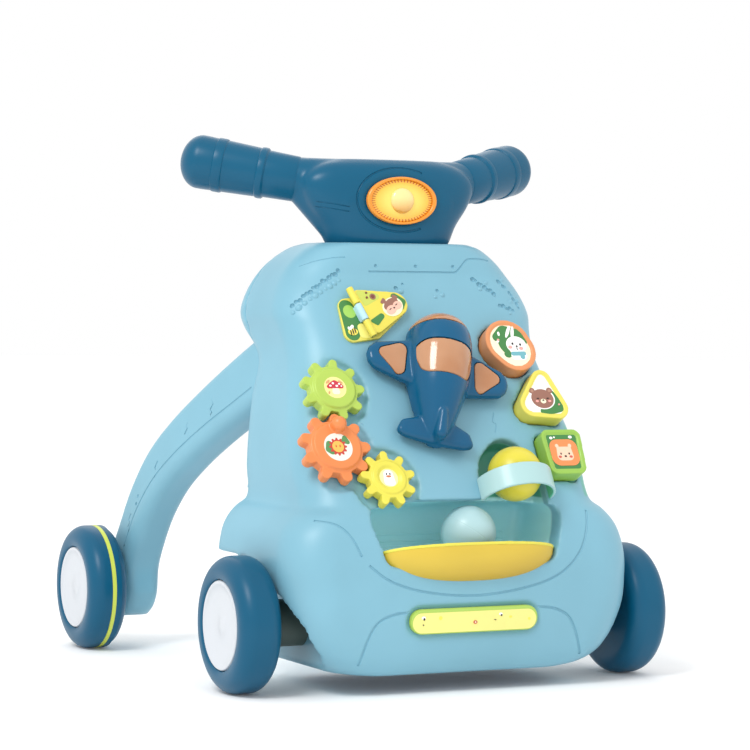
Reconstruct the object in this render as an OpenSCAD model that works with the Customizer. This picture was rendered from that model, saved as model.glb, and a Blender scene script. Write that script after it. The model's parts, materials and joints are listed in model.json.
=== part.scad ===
// Activity walker: a leaning play panel on four wheels, with two rear legs and a push bar.
// Frame: +Z up, front towards -Y, origin on the floor under the middle of the whole walker.

/* [Overall] */
// Length over the ball tray and the rear wheels
overall_len = 462; // [445:1:520]
// Width over the rear wheel hubs
overall_w = 400; // [385:1:440]
// Width over the front wheel hubs
front_track_w = 385; // [375:1:420]
// Distance between the front and rear axles
wheel_base = 327; // [315:1:345]

/* [Wheels] */
// Diameter of every wheel
wheel_d = 110; // [100:1:112]
// Width of a wheel
wheel_w = 35; // [28:1:38]
// Diameter of the white hub disc
hub_d = 72; // [50:1:80]
// Diameter of the steel axles
axle_d = 8; // [5:0.5:12]
// Running clearance of a wheel on its axle, on the radius
axle_fit = 0.06; // [0.03:0.01:0.1]
// Width of the coloured band in a rear wheel
band_w = 8; // [3:0.5:10]

/* [Body shells] */
// Wall of the moulded shells
wall = 3; // [2:0.5:4]
// Lean of the play panel from upright, in degrees
panel_lean = 29; // [25:1:33]
// Height of the foot of the play panel
panel_foot_z = 150; // [145:1:155]
// Distance from the front of the tray back to the foot of the panel
panel_setback = 30; // [26:1:36]
// Height of the underside
sole_z = 15; // [10:1:20]

/* [Play pieces] */
// Diameter of the two loose balls
ball_d = 45; // [44.6:0.1:50]
// Clearance round a button in its hole
button_gap = 0.7; // [0.4:0.1:1.2]
// Height of the buttons above the panel
button_h = 12; // [8:1:16]
// Diameter of the posts that carry the gears
post_d = 6; // [4:0.5:8]
// Running clearance of a gear on its post, on the radius
post_fit = 0.08; // [0.03:0.01:0.1]
// Centre distance of the green and orange gears
gear_gap_upper = 52.8; // [52:0.1:54]
// Centre distance of the orange and yellow gears
gear_gap_lower = 48.8; // [48.6:0.1:50]
// Diameter of the flip page's hinge pin
pin_d = 2.5; // [2:0.1:3]
// Running clearance of the page on its pin, on the radius
pin_fit = 0.08; // [0.03:0.01:0.1]
// Outer radius of the half-round ball hoop
hoop_r = 32.5; // [31:0.5:36]

/* [Push bar] */
// Largest diameter of a grip
grip_d = 46; // [38:1:50]
// Length of a grip, without its domed end
grip_len = 82; // [70:1:90]
// Sweep of the grips towards the rear, in degrees
grip_sweep = 30; // [20:1:35]
// Rise of the grips towards their ends, in degrees
grip_rise = 10; // [5:1:15]

/* [Hidden] */

sky = "#9fd0e4";
deep_blue = "#26739b";
lemon = "#efe35a";
mint = "#c3e6ea";
leaf = "#b4d957";
orange = "#f2955a";
amber = "#dda06c";
white = "#e8ebee";
dark = "#46554f";
steel = "#b9bcc0";

far = 600;            // reach of the cutting blocks
wheel_r = wheel_d/2;
rear_axle_y = overall_len/2 - wheel_r;
front_axle_y = rear_axle_y - wheel_base;
front_y = -overall_len/2;
panel_y = front_y + panel_setback;
floor_z = panel_foot_z - 47;          // floor of the ball bin
body_top = 362;

// depth and height of the panel face, and the place of a point on it
function face_y(z) = panel_y + (z - panel_foot_z)*tan(panel_lean);
function on_panel(u, v, h) = [u, panel_y + v*sin(panel_lean) - h*cos(panel_lean),
    panel_foot_z + v*cos(panel_lean) + h*sin(panel_lean)];

// draws its children in the panel's own plane: X across, Y up the panel, Z out of it
module panel(u = 0, v = 0, h = 0)
    translate([0, panel_y, panel_foot_z]) rotate([90 - panel_lean, 0, 0])
        translate([u, v, h]) children();

// cylinder along X
module bar(d, x0, x1) translate([x0, 0, 0]) rotate([0, 90, 0]) cylinder(d = d, h = x1 - x0, $fn = 48);

// draws its children on both sides, the left one mirrored
module both_sides() { children(); mirror([1, 0, 0]) children(); }

// stations of the rear shell: height, half width, front, back, corner radius
rear_stations = [
    [sole_z, 98, front_y + 24, -64, 34], [46, 116, front_y + 14, -50, 36],
    [100, 119, front_y + 15, -42, 36], [panel_foot_z, 131, panel_y, -33, 36],
    [176, 131, face_y(176), -30, 36], [206, 128, face_y(206), -27, 36],
    [235, 121, face_y(235), -18, 36], [262, 114.5, face_y(262), -16, 36],
    [276, 113.5, face_y(276), -4, 36], [290, 115.5, face_y(290), 13, 36],
    [303, 118.5, face_y(303), 17, 36], [320, 113, face_y(320), 15, 34],
    [335, 104, face_y(335), 12, 32], [346, 96, face_y(335) + 4, 6, 30],
    [355, 87, face_y(335) + 9, -3, 28], [body_top, 74, face_y(335) + 17, -14, 26]];
// the front shell swells out over the front wheels below the panel
first_above = 3;
front_stations = concat([
    [sole_z, 97, front_y + 24, -60, 32], [21, 120, front_y + 18, -52, 32],
    [34, 136, front_y + 14, -46, 34], [50, 146, front_y + 12, -40, 36],
    [69, 153, front_y + 11, -36, 38], [88, 156, front_y + 12, -30, 40],
    [104, 156.6, front_y + 13, -28, 40], [120, 154, front_y + 16, -28, 40],
    [132, 149, front_y + 20, -28, 38], [143, 141, front_y + 25, -30, 36]],
    [for (i = [first_above : len(rear_stations) - 1]) rear_stations[i]]);

module slice(s, inset, dz)
    translate([0, 0, s[0] + dz]) linear_extrude(0.02) hull()
        for (sx = [-1, 1], y = [s[2] + s[4], s[3] - s[4]])
            translate([sx*(s[1] - s[4]), y]) circle(r = s[4] - inset, $fn = 24);

module loft(stations, inset = 0)
    for (i = [0 : len(stations) - 2])
        hull() { slice(stations[i], inset, 0); slice(stations[i + 1], inset, 0); }

// a hollow loft, open underneath
module skin(stations) difference() {
    loft(stations);
    difference() {
        union() {
            loft(stations, wall);
            hull() { slice(stations[0], wall, -5); slice(stations[0], wall, 0); }
        }
        translate([-far/2, -far/2, body_top - wall]) cube([far, far, far]);
    }
}

// everything behind the joint between the two shells
module behind_seam(gap = 0) translate([0, -45 + gap, 171]) rotate([-9.6, 0, 0])
    translate([-far/2, 0, -far/2]) cube([far, far, far]);

// side view of the opening round a front wheel
module arch_profile() {
    hull() {
        translate([front_axle_y - 15, wheel_r - 9]) circle(r = 38, $fn = 40);
        translate([front_axle_y + 39, wheel_r + 21]) circle(r = 30, $fn = 40);
    }
    translate([front_axle_y + 28, -20]) square([190, 126]);
    translate([front_axle_y - 40, -20]) square([200, 55]);
}
module arches() both_sides() translate([well_x, 0, 0]) rotate([90, 0, 90])
    linear_extrude(120) arch_profile();
well_x = 122;                            // inner wall of the wheel openings
module well_walls() both_sides() translate([well_x - wall, front_y, sole_z])
    cube([wall, -front_y - 20, 145 - sole_z]);

// gear layout on the panel
gear_mid = [-105, 50];                   // orange gear
upper_dir = 80;                          // direction to the green gear
lower_dir = -35;                         // direction to the yellow gear
gear_up = gear_mid + gear_gap_upper*[cos(upper_dir), sin(upper_dir)];
gear_low = gear_mid + gear_gap_lower*[cos(lower_dir), sin(lower_dir)];
well_depth = 5;
// outer radius, root radius and tooth width of each gear
green_size = [27.5, 20.5, 7];
orange_size = [30.5, 23, 9];
yellow_size = [24.3, 17.2, 6];
teeth = 9;
gear_z0 = -3.5;

wells = [[gear_up, 32], [gear_mid, 35.5], [gear_low, 29.5]];

module well_cutter() for (w = wells) panel(w[0].x, w[0].y, -well_depth) cylinder(r = w[1], h = 40, $fn = 44);
module well_cups() for (w = wells)
    panel(w[0].x, w[0].y, -well_depth - wall) cylinder(r = w[1] + wall, h = 20, $fn = 44);

// flat outlines of the three buttons
round_at = [72, 139];
triangle_at = [90, 93];
square_at = [97.5, 40.5];
module blob(points, grow = 0) hull() for (p = points)
    translate([p.x, p.y]) circle(r = p.z + grow, $fn = 40);
round_blob = [[-1.5, 3, 21], [3, -4, 19.5]];
triangle_blob = [[3, 14, 9], [-11, -9, 11.5], [11, -12, 10.5]];
square_blob = [[-11.5, 13, 7], [11.5, 13, 7], [10, -13.5, 7], [-10, -13.5, 7]];
button_travel = 3;

module button(at, points) panel(at.x, at.y) {
    translate([0, 0, -2]) linear_extrude(button_h - 0.5) blob(points);
    translate([0, 0, button_h - 3.5]) linear_extrude(3.5) blob(points, -1.6);
    translate([0, 0, -wall - 3]) linear_extrude(4) blob(points);
    translate([0, 0, -14]) cylinder(d = 10, h = 12, $fn = 32);
}
module button_hole(at, points) panel(at.x, at.y, -20) linear_extrude(80) blob(points, button_gap);

// bin for the balls, and the pocket behind the hoop
bin_top_w = 172;
bin_floor_w = 152;
bin_back = panel_y + 58;
hoop_at = [49, 3];
hoop_h = 19;
hoop_ball_h = 3;
pocket_r = 28;
hoop_ball_at = [51, 24.5];
ball_clear = 2.5;
module bin_room(grow = 0) hull() {
    for (sx = [-1, 1]) {
        translate([sx*30, front_y + 14, panel_foot_z - 2]) sphere(r = 8 + grow, $fn = 14);
        translate([sx*(bin_top_w/2 - 8), front_y + 10, panel_foot_z - 9]) sphere(r = 8 + grow, $fn = 14);
        translate([sx*(bin_floor_w/2 - 8), front_y - 10, floor_z + 8]) sphere(r = 8 + grow, $fn = 14);
        translate([sx*(bin_top_w/2 - 12), bin_back - 8, panel_foot_z - 12]) sphere(r = 8 + grow, $fn = 14);
        translate([sx*(bin_floor_w/2 - 6), bin_back - 8, floor_z + 8]) sphere(r = 8 + grow, $fn = 14);
    }
}
module hoop_pocket(grow = 0) {
    depth = ball_d/2 + ball_clear - hoop_ball_h + grow;
    hull() {
        panel(hoop_at.x, 26, -depth) cylinder(r = pocket_r + grow, h = 40, $fn = 36);
        panel(hoop_at.x, 40, -depth) cylinder(r = 18 + grow, h = 40, $fn = 36);
        panel(hoop_at.x, -8, -depth) cylinder(r = pocket_r + grow, h = 24, $fn = 36);
    }
}

// the tray is the lower part of a boat-shaped bowl, turned about a line across the front
tray_w = 156;
tray_depth = 27;
tray_z = floor_z + 9;
tray_tilt = 20;
module bowl(shrink = 0) {
    sweep_r = ((tray_w/2)^2 + tray_depth^2)/(2*tray_depth);
    translate([0, front_y + tray_depth, tray_z]) rotate([0, 90, 0]) rotate_extrude($fn = 36)
        intersection() {
            translate([tray_depth - sweep_r, 0]) circle(r = sweep_r - shrink, $fn = 100);
            translate([0, -far/2]) square([far, far]);
        }
}

plane_at = [-4, 104];
plane_turn = -15;
plane_gap = 3.8;
plane_stem_d = 20;

module front_shell() color(sky) difference() {
    union() {
        skin(front_stations);
        intersection() {
            loft(front_stations, wall/2);
            union() { well_walls(); well_cups(); bin_room(wall); hoop_pocket(wall); }
        }
    }
    behind_seam();
    arches();
    well_cutter();
    bin_room();
    hoop_pocket();
    bowl(-0.3);
    button_hole(round_at, round_blob);
    button_hole(triangle_at, triangle_blob);
    button_hole(square_at, square_blob);
    for (sx = [-1, 1]) leg_socket(sx);
    panel(plane_at.x, plane_at.y, -20) cylinder(d = plane_stem_d + 2*button_gap, h = 60, $fn = 32);
    for (w = wells) panel(w[0].x, w[0].y, -20) cylinder(d = post_d, h = 40, $fn = 24);
    translate([0, front_axle_y, wheel_r]) bar(mount_d + 0.6, -160, 160);
    neck_socket();
    plaque_seat();
}

// opening in the top for the foot of the push bar
module neck_socket() translate([0, bar_y, body_top - 8]) scale([neck_half_w - 5, neck_half_d - 5, 1])
    cylinder(r = 1, h = 20, $fn = 44);

plaque_w = 114;
plaque_h = 20;
plaque_t = 4;
plaque_z = 59;
module plaque_outline(grow = 0) hull() for (sx = [-1, 1])
    translate([sx*(plaque_w - plaque_h)/2, 0]) circle(r = plaque_h/2 + grow, $fn = 48);
module plaque_seat() translate([0, front_y + 12, plaque_z]) rotate([90, 0, 0])
    linear_extrude(20) plaque_outline(0.3);

module rear_shell() color(sky) difference() {
    intersection() { skin(rear_stations); behind_seam(); }
    for (sx = [-1, 1]) leg_socket(sx);
    neck_socket();
    translate([0, 0, 210]) for (i = [-2 : 2], k = [-2 : 2])
        translate([i*9, -40, k*9]) rotate([-90, 0, 0]) cylinder(d = 4, h = 40, $fn = 12);
    translate([-4.6, -60, switch_z - 7.6]) cube([9.2, 60, 15.2]);
    translate([-41, -60, 88]) cube([82, 60, 54]);
}

module base_plate() color(deep_blue) difference() {
    translate([0, 0, sole_z]) linear_extrude(wall) hull() for (sx = [-1, 1], y = [front_y + 60, -98.5])
        translate([sx*64, y]) circle(r = 30, $fn = 60);
    screw_set(0.2);
}

module ball_tray() color(lemon) difference() {
    bowl();
    translate([0, front_y + tray_depth, tray_z + 1]) rotate([-tray_tilt, 0, 0])
        translate([-far/2, -far/2, 0]) cube([far, far, far]);
    intersection() {
        bowl(wall);
        translate([-far/2, -far/2, floor_z]) cube([far, far, far]);
    }
    intersection() {
        bowl(wall);
        translate([-far/2, -far/2, floor_z - wall - far]) cube([far, far, far]);
    }
    translate([-far/2, front_y + 36, 0]) cube([far, far, far]);
}

module ball_hoop() color(mint) panel(hoop_at.x, hoop_at.y) difference() {
    rotate([-90, 0, 0]) cylinder(r = hoop_r, h = hoop_h, $fn = 72);
    translate([0, -1, 0]) rotate([-90, 0, 0]) cylinder(r = hoop_r - wall, h = hoop_h + 2, $fn = 72);
    translate([-far/2, -1, -far]) cube([far, hoop_h + 2, far]);
}

mint_ball_at = [9, bin_back - 48, floor_z + 0.3 + ball_d/2];
module ball_mint() color(mint) translate(mint_ball_at) sphere(d = ball_d, $fn = 64);
module ball_yellow() color(lemon) panel(hoop_ball_at.x, hoop_ball_at.y, hoop_ball_h) sphere(d = ball_d, $fn = 64);

module name_plaque() color(leaf) translate([0, front_y + 12, plaque_z]) rotate([90, 0, 0])
    linear_extrude(plaque_t) plaque_outline();

// gear with round-ended teeth: size is outer radius, root radius, tooth width
module gear_outline(size) {
    circle(r = size[1], $fn = 72);
    for (i = [0 : teeth - 1]) rotate(i*360/teeth) {
        translate([0, -size[2]/2]) square([size[0] - size[2]/2, size[2]]);
        translate([size[0] - size[2]/2, 0]) circle(d = size[2], $fn = 32);
    }
}
module post_bore(depth) translate([0, 0, gear_z0 - 1]) cylinder(d = post_d + 2*post_fit, h = depth + 1, $fn = 40);
post_h = 8;

// turn of each gear so that its teeth sit between its neighbour's
half_pitch = 180/teeth;
orange_turn = upper_dir;
green_turn = upper_dir + 180 + half_pitch;
yellow_turn = lower_dir + 180 + half_pitch - (orange_turn - lower_dir);

module gear_green() color(leaf) panel(gear_up.x, gear_up.y) difference() {
    union() {
        translate([0, 0, gear_z0]) rotate(green_turn) linear_extrude(11) gear_outline(green_size);
        translate([0, 0, 7]) cylinder(r1 = green_size[1] - 1, r2 = green_size[1] - 3, h = 2, $fn = 72);
    }
    post_bore(post_h);
}
module gear_orange() color(orange) panel(gear_mid.x, gear_mid.y) difference() {
    union() {
        translate([0, 0, gear_z0]) rotate(orange_turn) linear_extrude(11) gear_outline(orange_size);
        translate([0, 0, 7]) cylinder(r1 = orange_size[1] - 1, r2 = orange_size[1] - 4, h = 3, $fn = 72);
        rotate(orange_turn) translate([orange_size[1] - 5.5, 0, 6]) {
            cylinder(d = 13, h = 9, $fn = 40);
            translate([0, 0, 9]) sphere(d = 13, $fn = 40);
        }
    }
    post_bore(post_h);
}
module gear_yellow() color(lemon) panel(gear_low.x, gear_low.y) difference() {
    union() {
        translate([0, 0, gear_z0]) rotate(yellow_turn) linear_extrude(11) gear_outline(yellow_size);
        translate([0, 0, 7]) cylinder(r1 = yellow_size[1] - 1, r2 = yellow_size[1] - 3, h = 1.5, $fn = 72);
    }
    translate([0, 0, 6]) cylinder(r = 11, h = 5, $fn = 56);
    post_bore(post_h);
}
module gear_posts() color(white) for (w = wells)
    panel(w[0].x, w[0].y, -well_depth - wall - 4) {
        cylinder(d = post_d, h = well_depth + wall + 4 + gear_z0 + post_h - 0.5, $fn = 40);
        cylinder(d = post_d + 5, h = 4, $fn = 40);
    }

module button_round() color(amber) button(round_at, round_blob);
module button_triangle() color(lemon) button(triangle_at, triangle_blob);
module button_square() color(leaf) button(square_at, square_blob);

// rubber sheet of switch domes on the board, one under each key
board_z = -24;
module key_pad() color(white) for (p = [round_at, triangle_at, square_at, plane_at])
    panel(p.x, p.y, board_z + 2) {
        cylinder(d = 18, h = 1.5, $fn = 40);
        cylinder(d1 = 13, d2 = 8, h = 4.2, $fn = 40);
    }
module circuit_board() color("#2f7d4f") panel(0, 0, board_z) linear_extrude(1.6) {
    translate([-30, 80]) square([138, 72]);
    translate([83, 20]) square([25, 61]);
}

// two-page flip book: hinge line from its upper to its lower end
hinge_top = [-63, 195];
hinge_low = [-49.5, 149.5];
hinge_dir = hinge_low - hinge_top;
hinge_len = norm(hinge_dir);
hinge_turn = atan2(hinge_dir.x, -hinge_dir.y);
hinge_h = 7;
page_t = 2.6;
knuckle_d = 6;
knuckles = 3;
leaf_gap = 0.04;                    // glue line under the fixed leaf
// points of the page outline from the upper hinge end: across, down the hinge, radius
page_blob = [[6, -8, 4.5], [34, -25, 11], [7, -hinge_len + 7, 5]];
base_blob = [[-14, -hinge_len + 10, 8], [-7, -14, 8], [33, -25, 11.5], [6, -hinge_len + 6, 7]];
module book(h = 0) panel(hinge_top.x, hinge_top.y, h) rotate(hinge_turn) children();
module knuckle(i, gap, h0, grow = 0) translate([0, -hinge_len*(i + 1)/knuckles + gap, 0])
    rotate([-90, 0, 0]) cylinder(d = knuckle_d + grow, h = hinge_len/knuckles - 2*gap, $fn = 32);
module flip_pin() color(steel) book(hinge_h) translate([0, -hinge_len + 1, 0])
    rotate([-90, 0, 0]) cylinder(d = pin_d, h = hinge_len - 2, $fn = 32);
module pin_bore(fit) translate([0, -hinge_len - 1, 0]) rotate([-90, 0, 0])
    cylinder(d = pin_d + 2*fit, h = hinge_len + 2, $fn = 32);
module flip_base() color(lemon) difference() {
    union() {
        book(leaf_gap) linear_extrude(page_t) blob(base_blob);
        book(hinge_h) intersection() {
            union() {
                knuckle(1, 0.4);
                translate([-knuckle_d/2, -hinge_len*2/3 + 0.4, -hinge_h]) cube([knuckle_d, hinge_len/3 - 0.8, hinge_h]);
            }
            translate([-far/2, -far/2, -hinge_h + leaf_gap]) cube([far, far, far]);
        }
    }
    book(hinge_h) pin_bore(0);
}
module flip_page() color(lemon) book(hinge_h) difference() {
    union() {
        difference() {
            translate([0, 0, -knuckle_d/2]) linear_extrude(page_t) blob(page_blob);
            translate([-far/2, -hinge_len*2/3 - 0.4, -far/2]) cube([far/2 + knuckle_d/2 + 0.7, hinge_len/3 + 0.8, far]);
            translate([-far, -far/2, -far/2]) cube([far - 1, far, far]);
        }
        knuckle(0, 0.4);
        knuckle(2, 0.4);
    }
    pin_bore(pin_fit);
}

// press-down aeroplane: nose up the panel, turned a little to the right
module on_plane() panel(plane_at.x, plane_at.y, plane_gap) rotate(plane_turn) children();
fuselage = [[60, 8, 11], [50, 23, 15], [34, 27.5, 17.5], [12, 28, 17.5], [-14, 22.5, 16], [-38, 14, 13], [-56, 9, 9.5]];
module rib(s, inset) translate([0, s[0], 0]) scale([s[1] - inset, 1, 2*s[2] - inset])
    rotate([90, 0, 0]) cylinder(r = 1, h = 0.02, $fn = 32);
module hull_body(inset = 0) intersection() {
    for (i = [0 : len(fuselage) - 2]) hull() { rib(fuselage[i], inset); rib(fuselage[i + 1], inset); }
    translate([-far/2, -far/2, 0]) cube([far, far, far]);
}
module wing(tip_x, tip_y, root_y, tip_r, root_r, t) hull() {
    translate([tip_x, tip_y, 0]) cylinder(r1 = tip_r, r2 = tip_r - 3, h = t, $fn = 32);
    translate([0, root_y, 0]) cylinder(r1 = root_r, r2 = root_r - 2, h = t + 3, $fn = 32);
}
module canopy_window() hull() for (p = [[-17, 18], [17, 18], [13, 6], [-13, 6]])
    translate([p.x, p.y, 20]) cylinder(r = 9, h = 40, $fn = 24);
module wing_window() hull() for (p = [[48, 16.5, 5], [36, 21, 5.5], [36, 5, 4.5]])
    translate([p.x, p.y, 4]) cylinder(r = p.z, h = 20, $fn = 24);
module nose_region() translate([-40, 46, 3]) cube([80, 40, 60]);
module wings() both_sides() wing(50, 13.5, 14, 13.5, 24, 9);
module plane_body() color(deep_blue) {
    on_plane() difference() {
        union() {
            hull_body();
            wings();
            both_sides() wing(26, -47, -44, 8, 12, 8);
            hull() { translate([0, -35, 20]) sphere(r = 5, $fn = 16); translate([0, -53, 15]) sphere(r = 6, $fn = 16); }
        }
        canopy_window();
        both_sides() wing_window();
        nose_region();
    }
    panel(plane_at.x, plane_at.y, -14) cylinder(d = plane_stem_d, h = plane_gap + 18, $fn = 40);
}
module plane_canopy() color(amber) on_plane() intersection() { hull_body(); canopy_window(); }
module plane_nose_lens() color(amber) on_plane() intersection() { hull_body(); nose_region(); }
module wing_lenses() color(amber) on_plane() both_sides() intersection() {
    wing(50, 13.5, 14, 13.5, 24, 9);
    wing_window();
}

// push bar: middle cowl with the headlight, and two swept arms under the grips
bar_y = -53;
neck_half_w = 57;
neck_half_d = 27;
cap_x = 146.7;                      // centre of a grip's domed end
cap_z = 430;
arm_d = 28;
root_x = 45;
cap_y = bar_y + (cap_x - root_x)*tan(grip_sweep);
module at_grip() translate([cap_x, cap_y, cap_z]) rotate([0, 90 - grip_rise, grip_sweep]) children();
// cowl sections: height, half width, half depth
cowl = [[body_top - 6, neck_half_w - 5.5, neck_half_d - 5.5], [body_top + 0.1, neck_half_w - 5.5, neck_half_d - 5.5],
    [body_top + 0.03, neck_half_w, neck_half_d], [378, 62, 28], [396, 71, 28.5], [414, 76, 27], [427, 68, 22], [433, 52, 13]];
module cowl_slice(s, inset) translate([0, bar_y, s[0]]) scale([s[1] - inset, s[2] - inset, 1])
    cylinder(r = 1, h = 0.02, $fn = 36);
module bar_solid(inset = 0) {
    for (i = [0 : len(cowl) - 2]) if (i != 1)
        hull() { cowl_slice(cowl[i], inset); cowl_slice(cowl[i + 1], inset); }
    both_sides() {
        hull() {
            translate([30, bar_y, 409]) sphere(r = 22 - inset, $fn = 24);
            at_grip() translate([0, 0, -grip_len - 1]) cylinder(r = 19.5 - inset, h = 0.5, $fn = 32);
        }
        at_grip() translate([0, 0, -grip_len - 6]) cylinder(d = arm_d - 2*inset, h = grip_len + 4, $fn = 32);
    }
}
module bar_front_half() {
    depth = far/2;
    translate([0, 0, 300]) linear_extrude(200) polygon([[-root_x, bar_y], [root_x, bar_y],
        [root_x + depth, bar_y + depth*tan(grip_sweep)], [root_x + depth, bar_y - depth],
        [-root_x - depth, bar_y - depth], [-root_x - depth, bar_y + depth*tan(grip_sweep)]]);
}
light_z = 397.7;
light_w = 64;
light_h = 40;
light_y = bar_y - 28.5;
module light_oval(grow, y0, y1) translate([0, y1, light_z]) rotate([90, 0, 0])
    scale([light_w/2 + grow, light_h/2 + grow, 1]) cylinder(r = 1, h = y1 - y0, $fn = 60);
module bar_cavity() {
    hull() {
        translate([0, bar_y, 350]) scale([48, 18, 1]) cylinder(r = 1, h = 1, $fn = 32);
        translate([0, bar_y, 376]) scale([56, 22, 1]) cylinder(r = 1, h = 1, $fn = 32);
        translate([0, bar_y, 419]) scale([62, 17, 1]) cylinder(r = 1, h = 1, $fn = 32);
    }
    both_sides() at_grip() translate([0, 0, -grip_len - 36])
        cylinder(d = arm_d - 2*wall, h = grip_len + 28, $fn = 32);
}
module bar_shell() difference() {
    bar_solid();
    bar_cavity();
    light_oval(0.2, light_y - 10, light_y + 4.5);
    light_oval(-6, light_y - 10, light_y + 20);
}
module handlebar_front() color(deep_blue) intersection() { bar_shell(); bar_front_half(); }
module handlebar_rear() color(deep_blue) difference() { bar_shell(); bar_front_half(); }

grip_root_r = 19;
ring_h = 1.5;
module grip_profile() difference() {
    union() {
        polygon([[0, -grip_len], [grip_root_r, -grip_len], [grip_d/2, -6], [grip_d/2, 0], [0, 0]]);
        intersection() {
            scale([1, 0.75]) circle(d = grip_d, $fn = 64);
            square([grip_d/2, grip_d/2]);
        }
        for (s = [-52, -15]) translate([grip_root_r + (s + grip_len)/grip_len*(grip_d/2 - grip_root_r) - 2, s])
            scale([1, 1]) circle(r = ring_h + 2, $fn = 24);
    }
    translate([0, -grip_len - 1]) square([arm_d/2 + 0.05, grip_len - 1]);
}
module grip() at_grip() rotate_extrude($fn = 64) grip_profile();
module grip_left() color(deep_blue) mirror([1, 0, 0]) grip();
module grip_right() color(deep_blue) grip();

module headlight_bezel() color(orange) difference() {
    light_oval(0, light_y - 2.5, light_y + 4.5);
    light_oval(-4, light_y - 5, light_y + 6);
}
module headlight_lens() color("#f6cf4e") light_oval(-4.1, light_y - 1.5, light_y + 1.5);
module headlight_led() color(white) translate([0, light_y + 18, light_z]) rotate([90, 0, 0]) {
    cylinder(d = 30, h = 2, $fn = 40);
    translate([0, 0, 2]) cylinder(d = 8, h = 4, $fn = 32);
}

// rear legs: centre points of the leg and its depth there, from the body to the axle
leg_path = [[-45, 262, 54], [0, 238, 53], [45, 213, 50], [85, 188, 48], [118, 162, 46],
    [143, 132, 43], [160, 102, 42], [171, 78, 46], [rear_axle_y, wheel_r, 58]];
leg_t = 36;
leg_top_x = 90;
leg_foot_x = overall_w/2 - wheel_w - 4 - leg_t/2;
function leg_x(y) = leg_top_x + (leg_foot_x - leg_top_x)*(y - leg_path[0].x)/(rear_axle_y - leg_path[0].x);
module leg_disc(p, grow = 0) translate([leg_x(p.x), p.x, p.y]) rotate([0, 90, 0]) {
    cylinder(d = p.z - 8 + 2*grow, h = leg_t + 2*grow, center = true, $fn = 32);
    cylinder(d = p.z + 2*grow, h = leg_t - 8 + 2*grow, center = true, $fn = 32);
}
module leg() for (i = [0 : len(leg_path) - 2]) hull() { leg_disc(leg_path[i]); leg_disc(leg_path[i + 1]); }
module leg_hollow() for (i = [0 : len(leg_path) - 3])
    hull() { leg_disc(leg_path[i], -wall); leg_disc(leg_path[i + 1], -wall); }
module leg_outside() {
    y0 = leg_path[0].x - 100;
    y1 = rear_axle_y + 100;
    linear_extrude(400) polygon([[leg_x(y0), y0], [leg_x(y1), y1], [leg_x(y1) + far, y1], [leg_x(y0) + far, y0]]);
}
module leg_socket(sx) scale([sx, 1, 1]) for (i = [0, 1])
    hull() { leg_disc(leg_path[i], 0.4); leg_disc(leg_path[i + 1], 0.4); }
module leg_shell() difference() {
    leg();
    leg_hollow();
    translate([0, rear_axle_y, wheel_r]) bar(axle_d, 100, 200);
}
module leg_outer_half() intersection() { leg_shell(); leg_outside(); }
module leg_inner_half() difference() { leg_shell(); leg_outside(); }
module leg_right_outer() color(sky) leg_outer_half();
module leg_right_inner() color(sky) leg_inner_half();
module leg_left_outer() color(sky) mirror([1, 0, 0]) leg_outer_half();
module leg_left_inner() color(sky) mirror([1, 0, 0]) leg_inner_half();

// wheels: drawn about X, with the outer face at x = 0 and the wheel towards -X
hub_seat = 7;
wheel_round = 11;
module spin_about_x() rotate([0, 90, 0]) rotate_extrude($fn = 96) children();
module tyre_profile(x0, x1) intersection() {
    difference() {
        union() {
            translate([axle_d/2 + axle_fit, -wheel_w]) square([wheel_r - wheel_round - axle_d/2 - axle_fit, wheel_w]);
            translate([axle_d/2 + axle_fit, -wheel_w + wheel_round])
                square([wheel_r - axle_d/2 - axle_fit, wheel_w - 2*wheel_round]);
            for (x = [-wheel_round, -wheel_w + wheel_round])
                translate([wheel_r - wheel_round, x]) circle(r = wheel_round, $fn = 48);
        }
        translate([0, -hub_seat]) square([hub_d/2, hub_seat + 1]);
    }
    translate([0, x0]) square([far, x1 - x0]);
}
module hub_profile() difference() {
    translate([0, -hub_seat]) square([hub_d/2, hub_seat]);
    translate([0, 26]) circle(r = 30, $fn = 96);
}
module wheel_place(sx, track, y) translate([sx*track/2, y, wheel_r]) scale([sx, 1, 1]) children();
module front_wheel(sx) color(deep_blue) wheel_place(sx, front_track_w, front_axle_y)
    spin_about_x() tyre_profile(-wheel_w, 0);
module front_hub(sx) color(white) wheel_place(sx, front_track_w, front_axle_y) spin_about_x() hub_profile();
band_x = -18.5;                     // outer edge of the band
module rear_part(sx, x0, x1) wheel_place(sx, overall_w, rear_axle_y) spin_about_x() tyre_profile(x0, x1);
module rear_hub(sx) color(white) wheel_place(sx, overall_w, rear_axle_y) spin_about_x() hub_profile();
module wheel_front_left() front_wheel(-1);
module wheel_front_right() front_wheel(1);
module hub_front_left() front_hub(-1);
module hub_front_right() front_hub(1);
module wheel_rear_left_outer() color(deep_blue) rear_part(-1, band_x, 0);
module wheel_rear_left_inner() color(deep_blue) rear_part(-1, -wheel_w, band_x - band_w);
module band_rear_left() color(lemon) rear_part(-1, band_x - band_w, band_x);
module wheel_rear_right_outer() color(deep_blue) rear_part(1, band_x, 0);
module wheel_rear_right_inner() color(deep_blue) rear_part(1, -wheel_w, band_x - band_w);
module band_rear_right() color(lemon) rear_part(1, band_x - band_w, band_x);
module hub_rear_left() rear_hub(-1);
module hub_rear_right() rear_hub(1);

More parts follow.
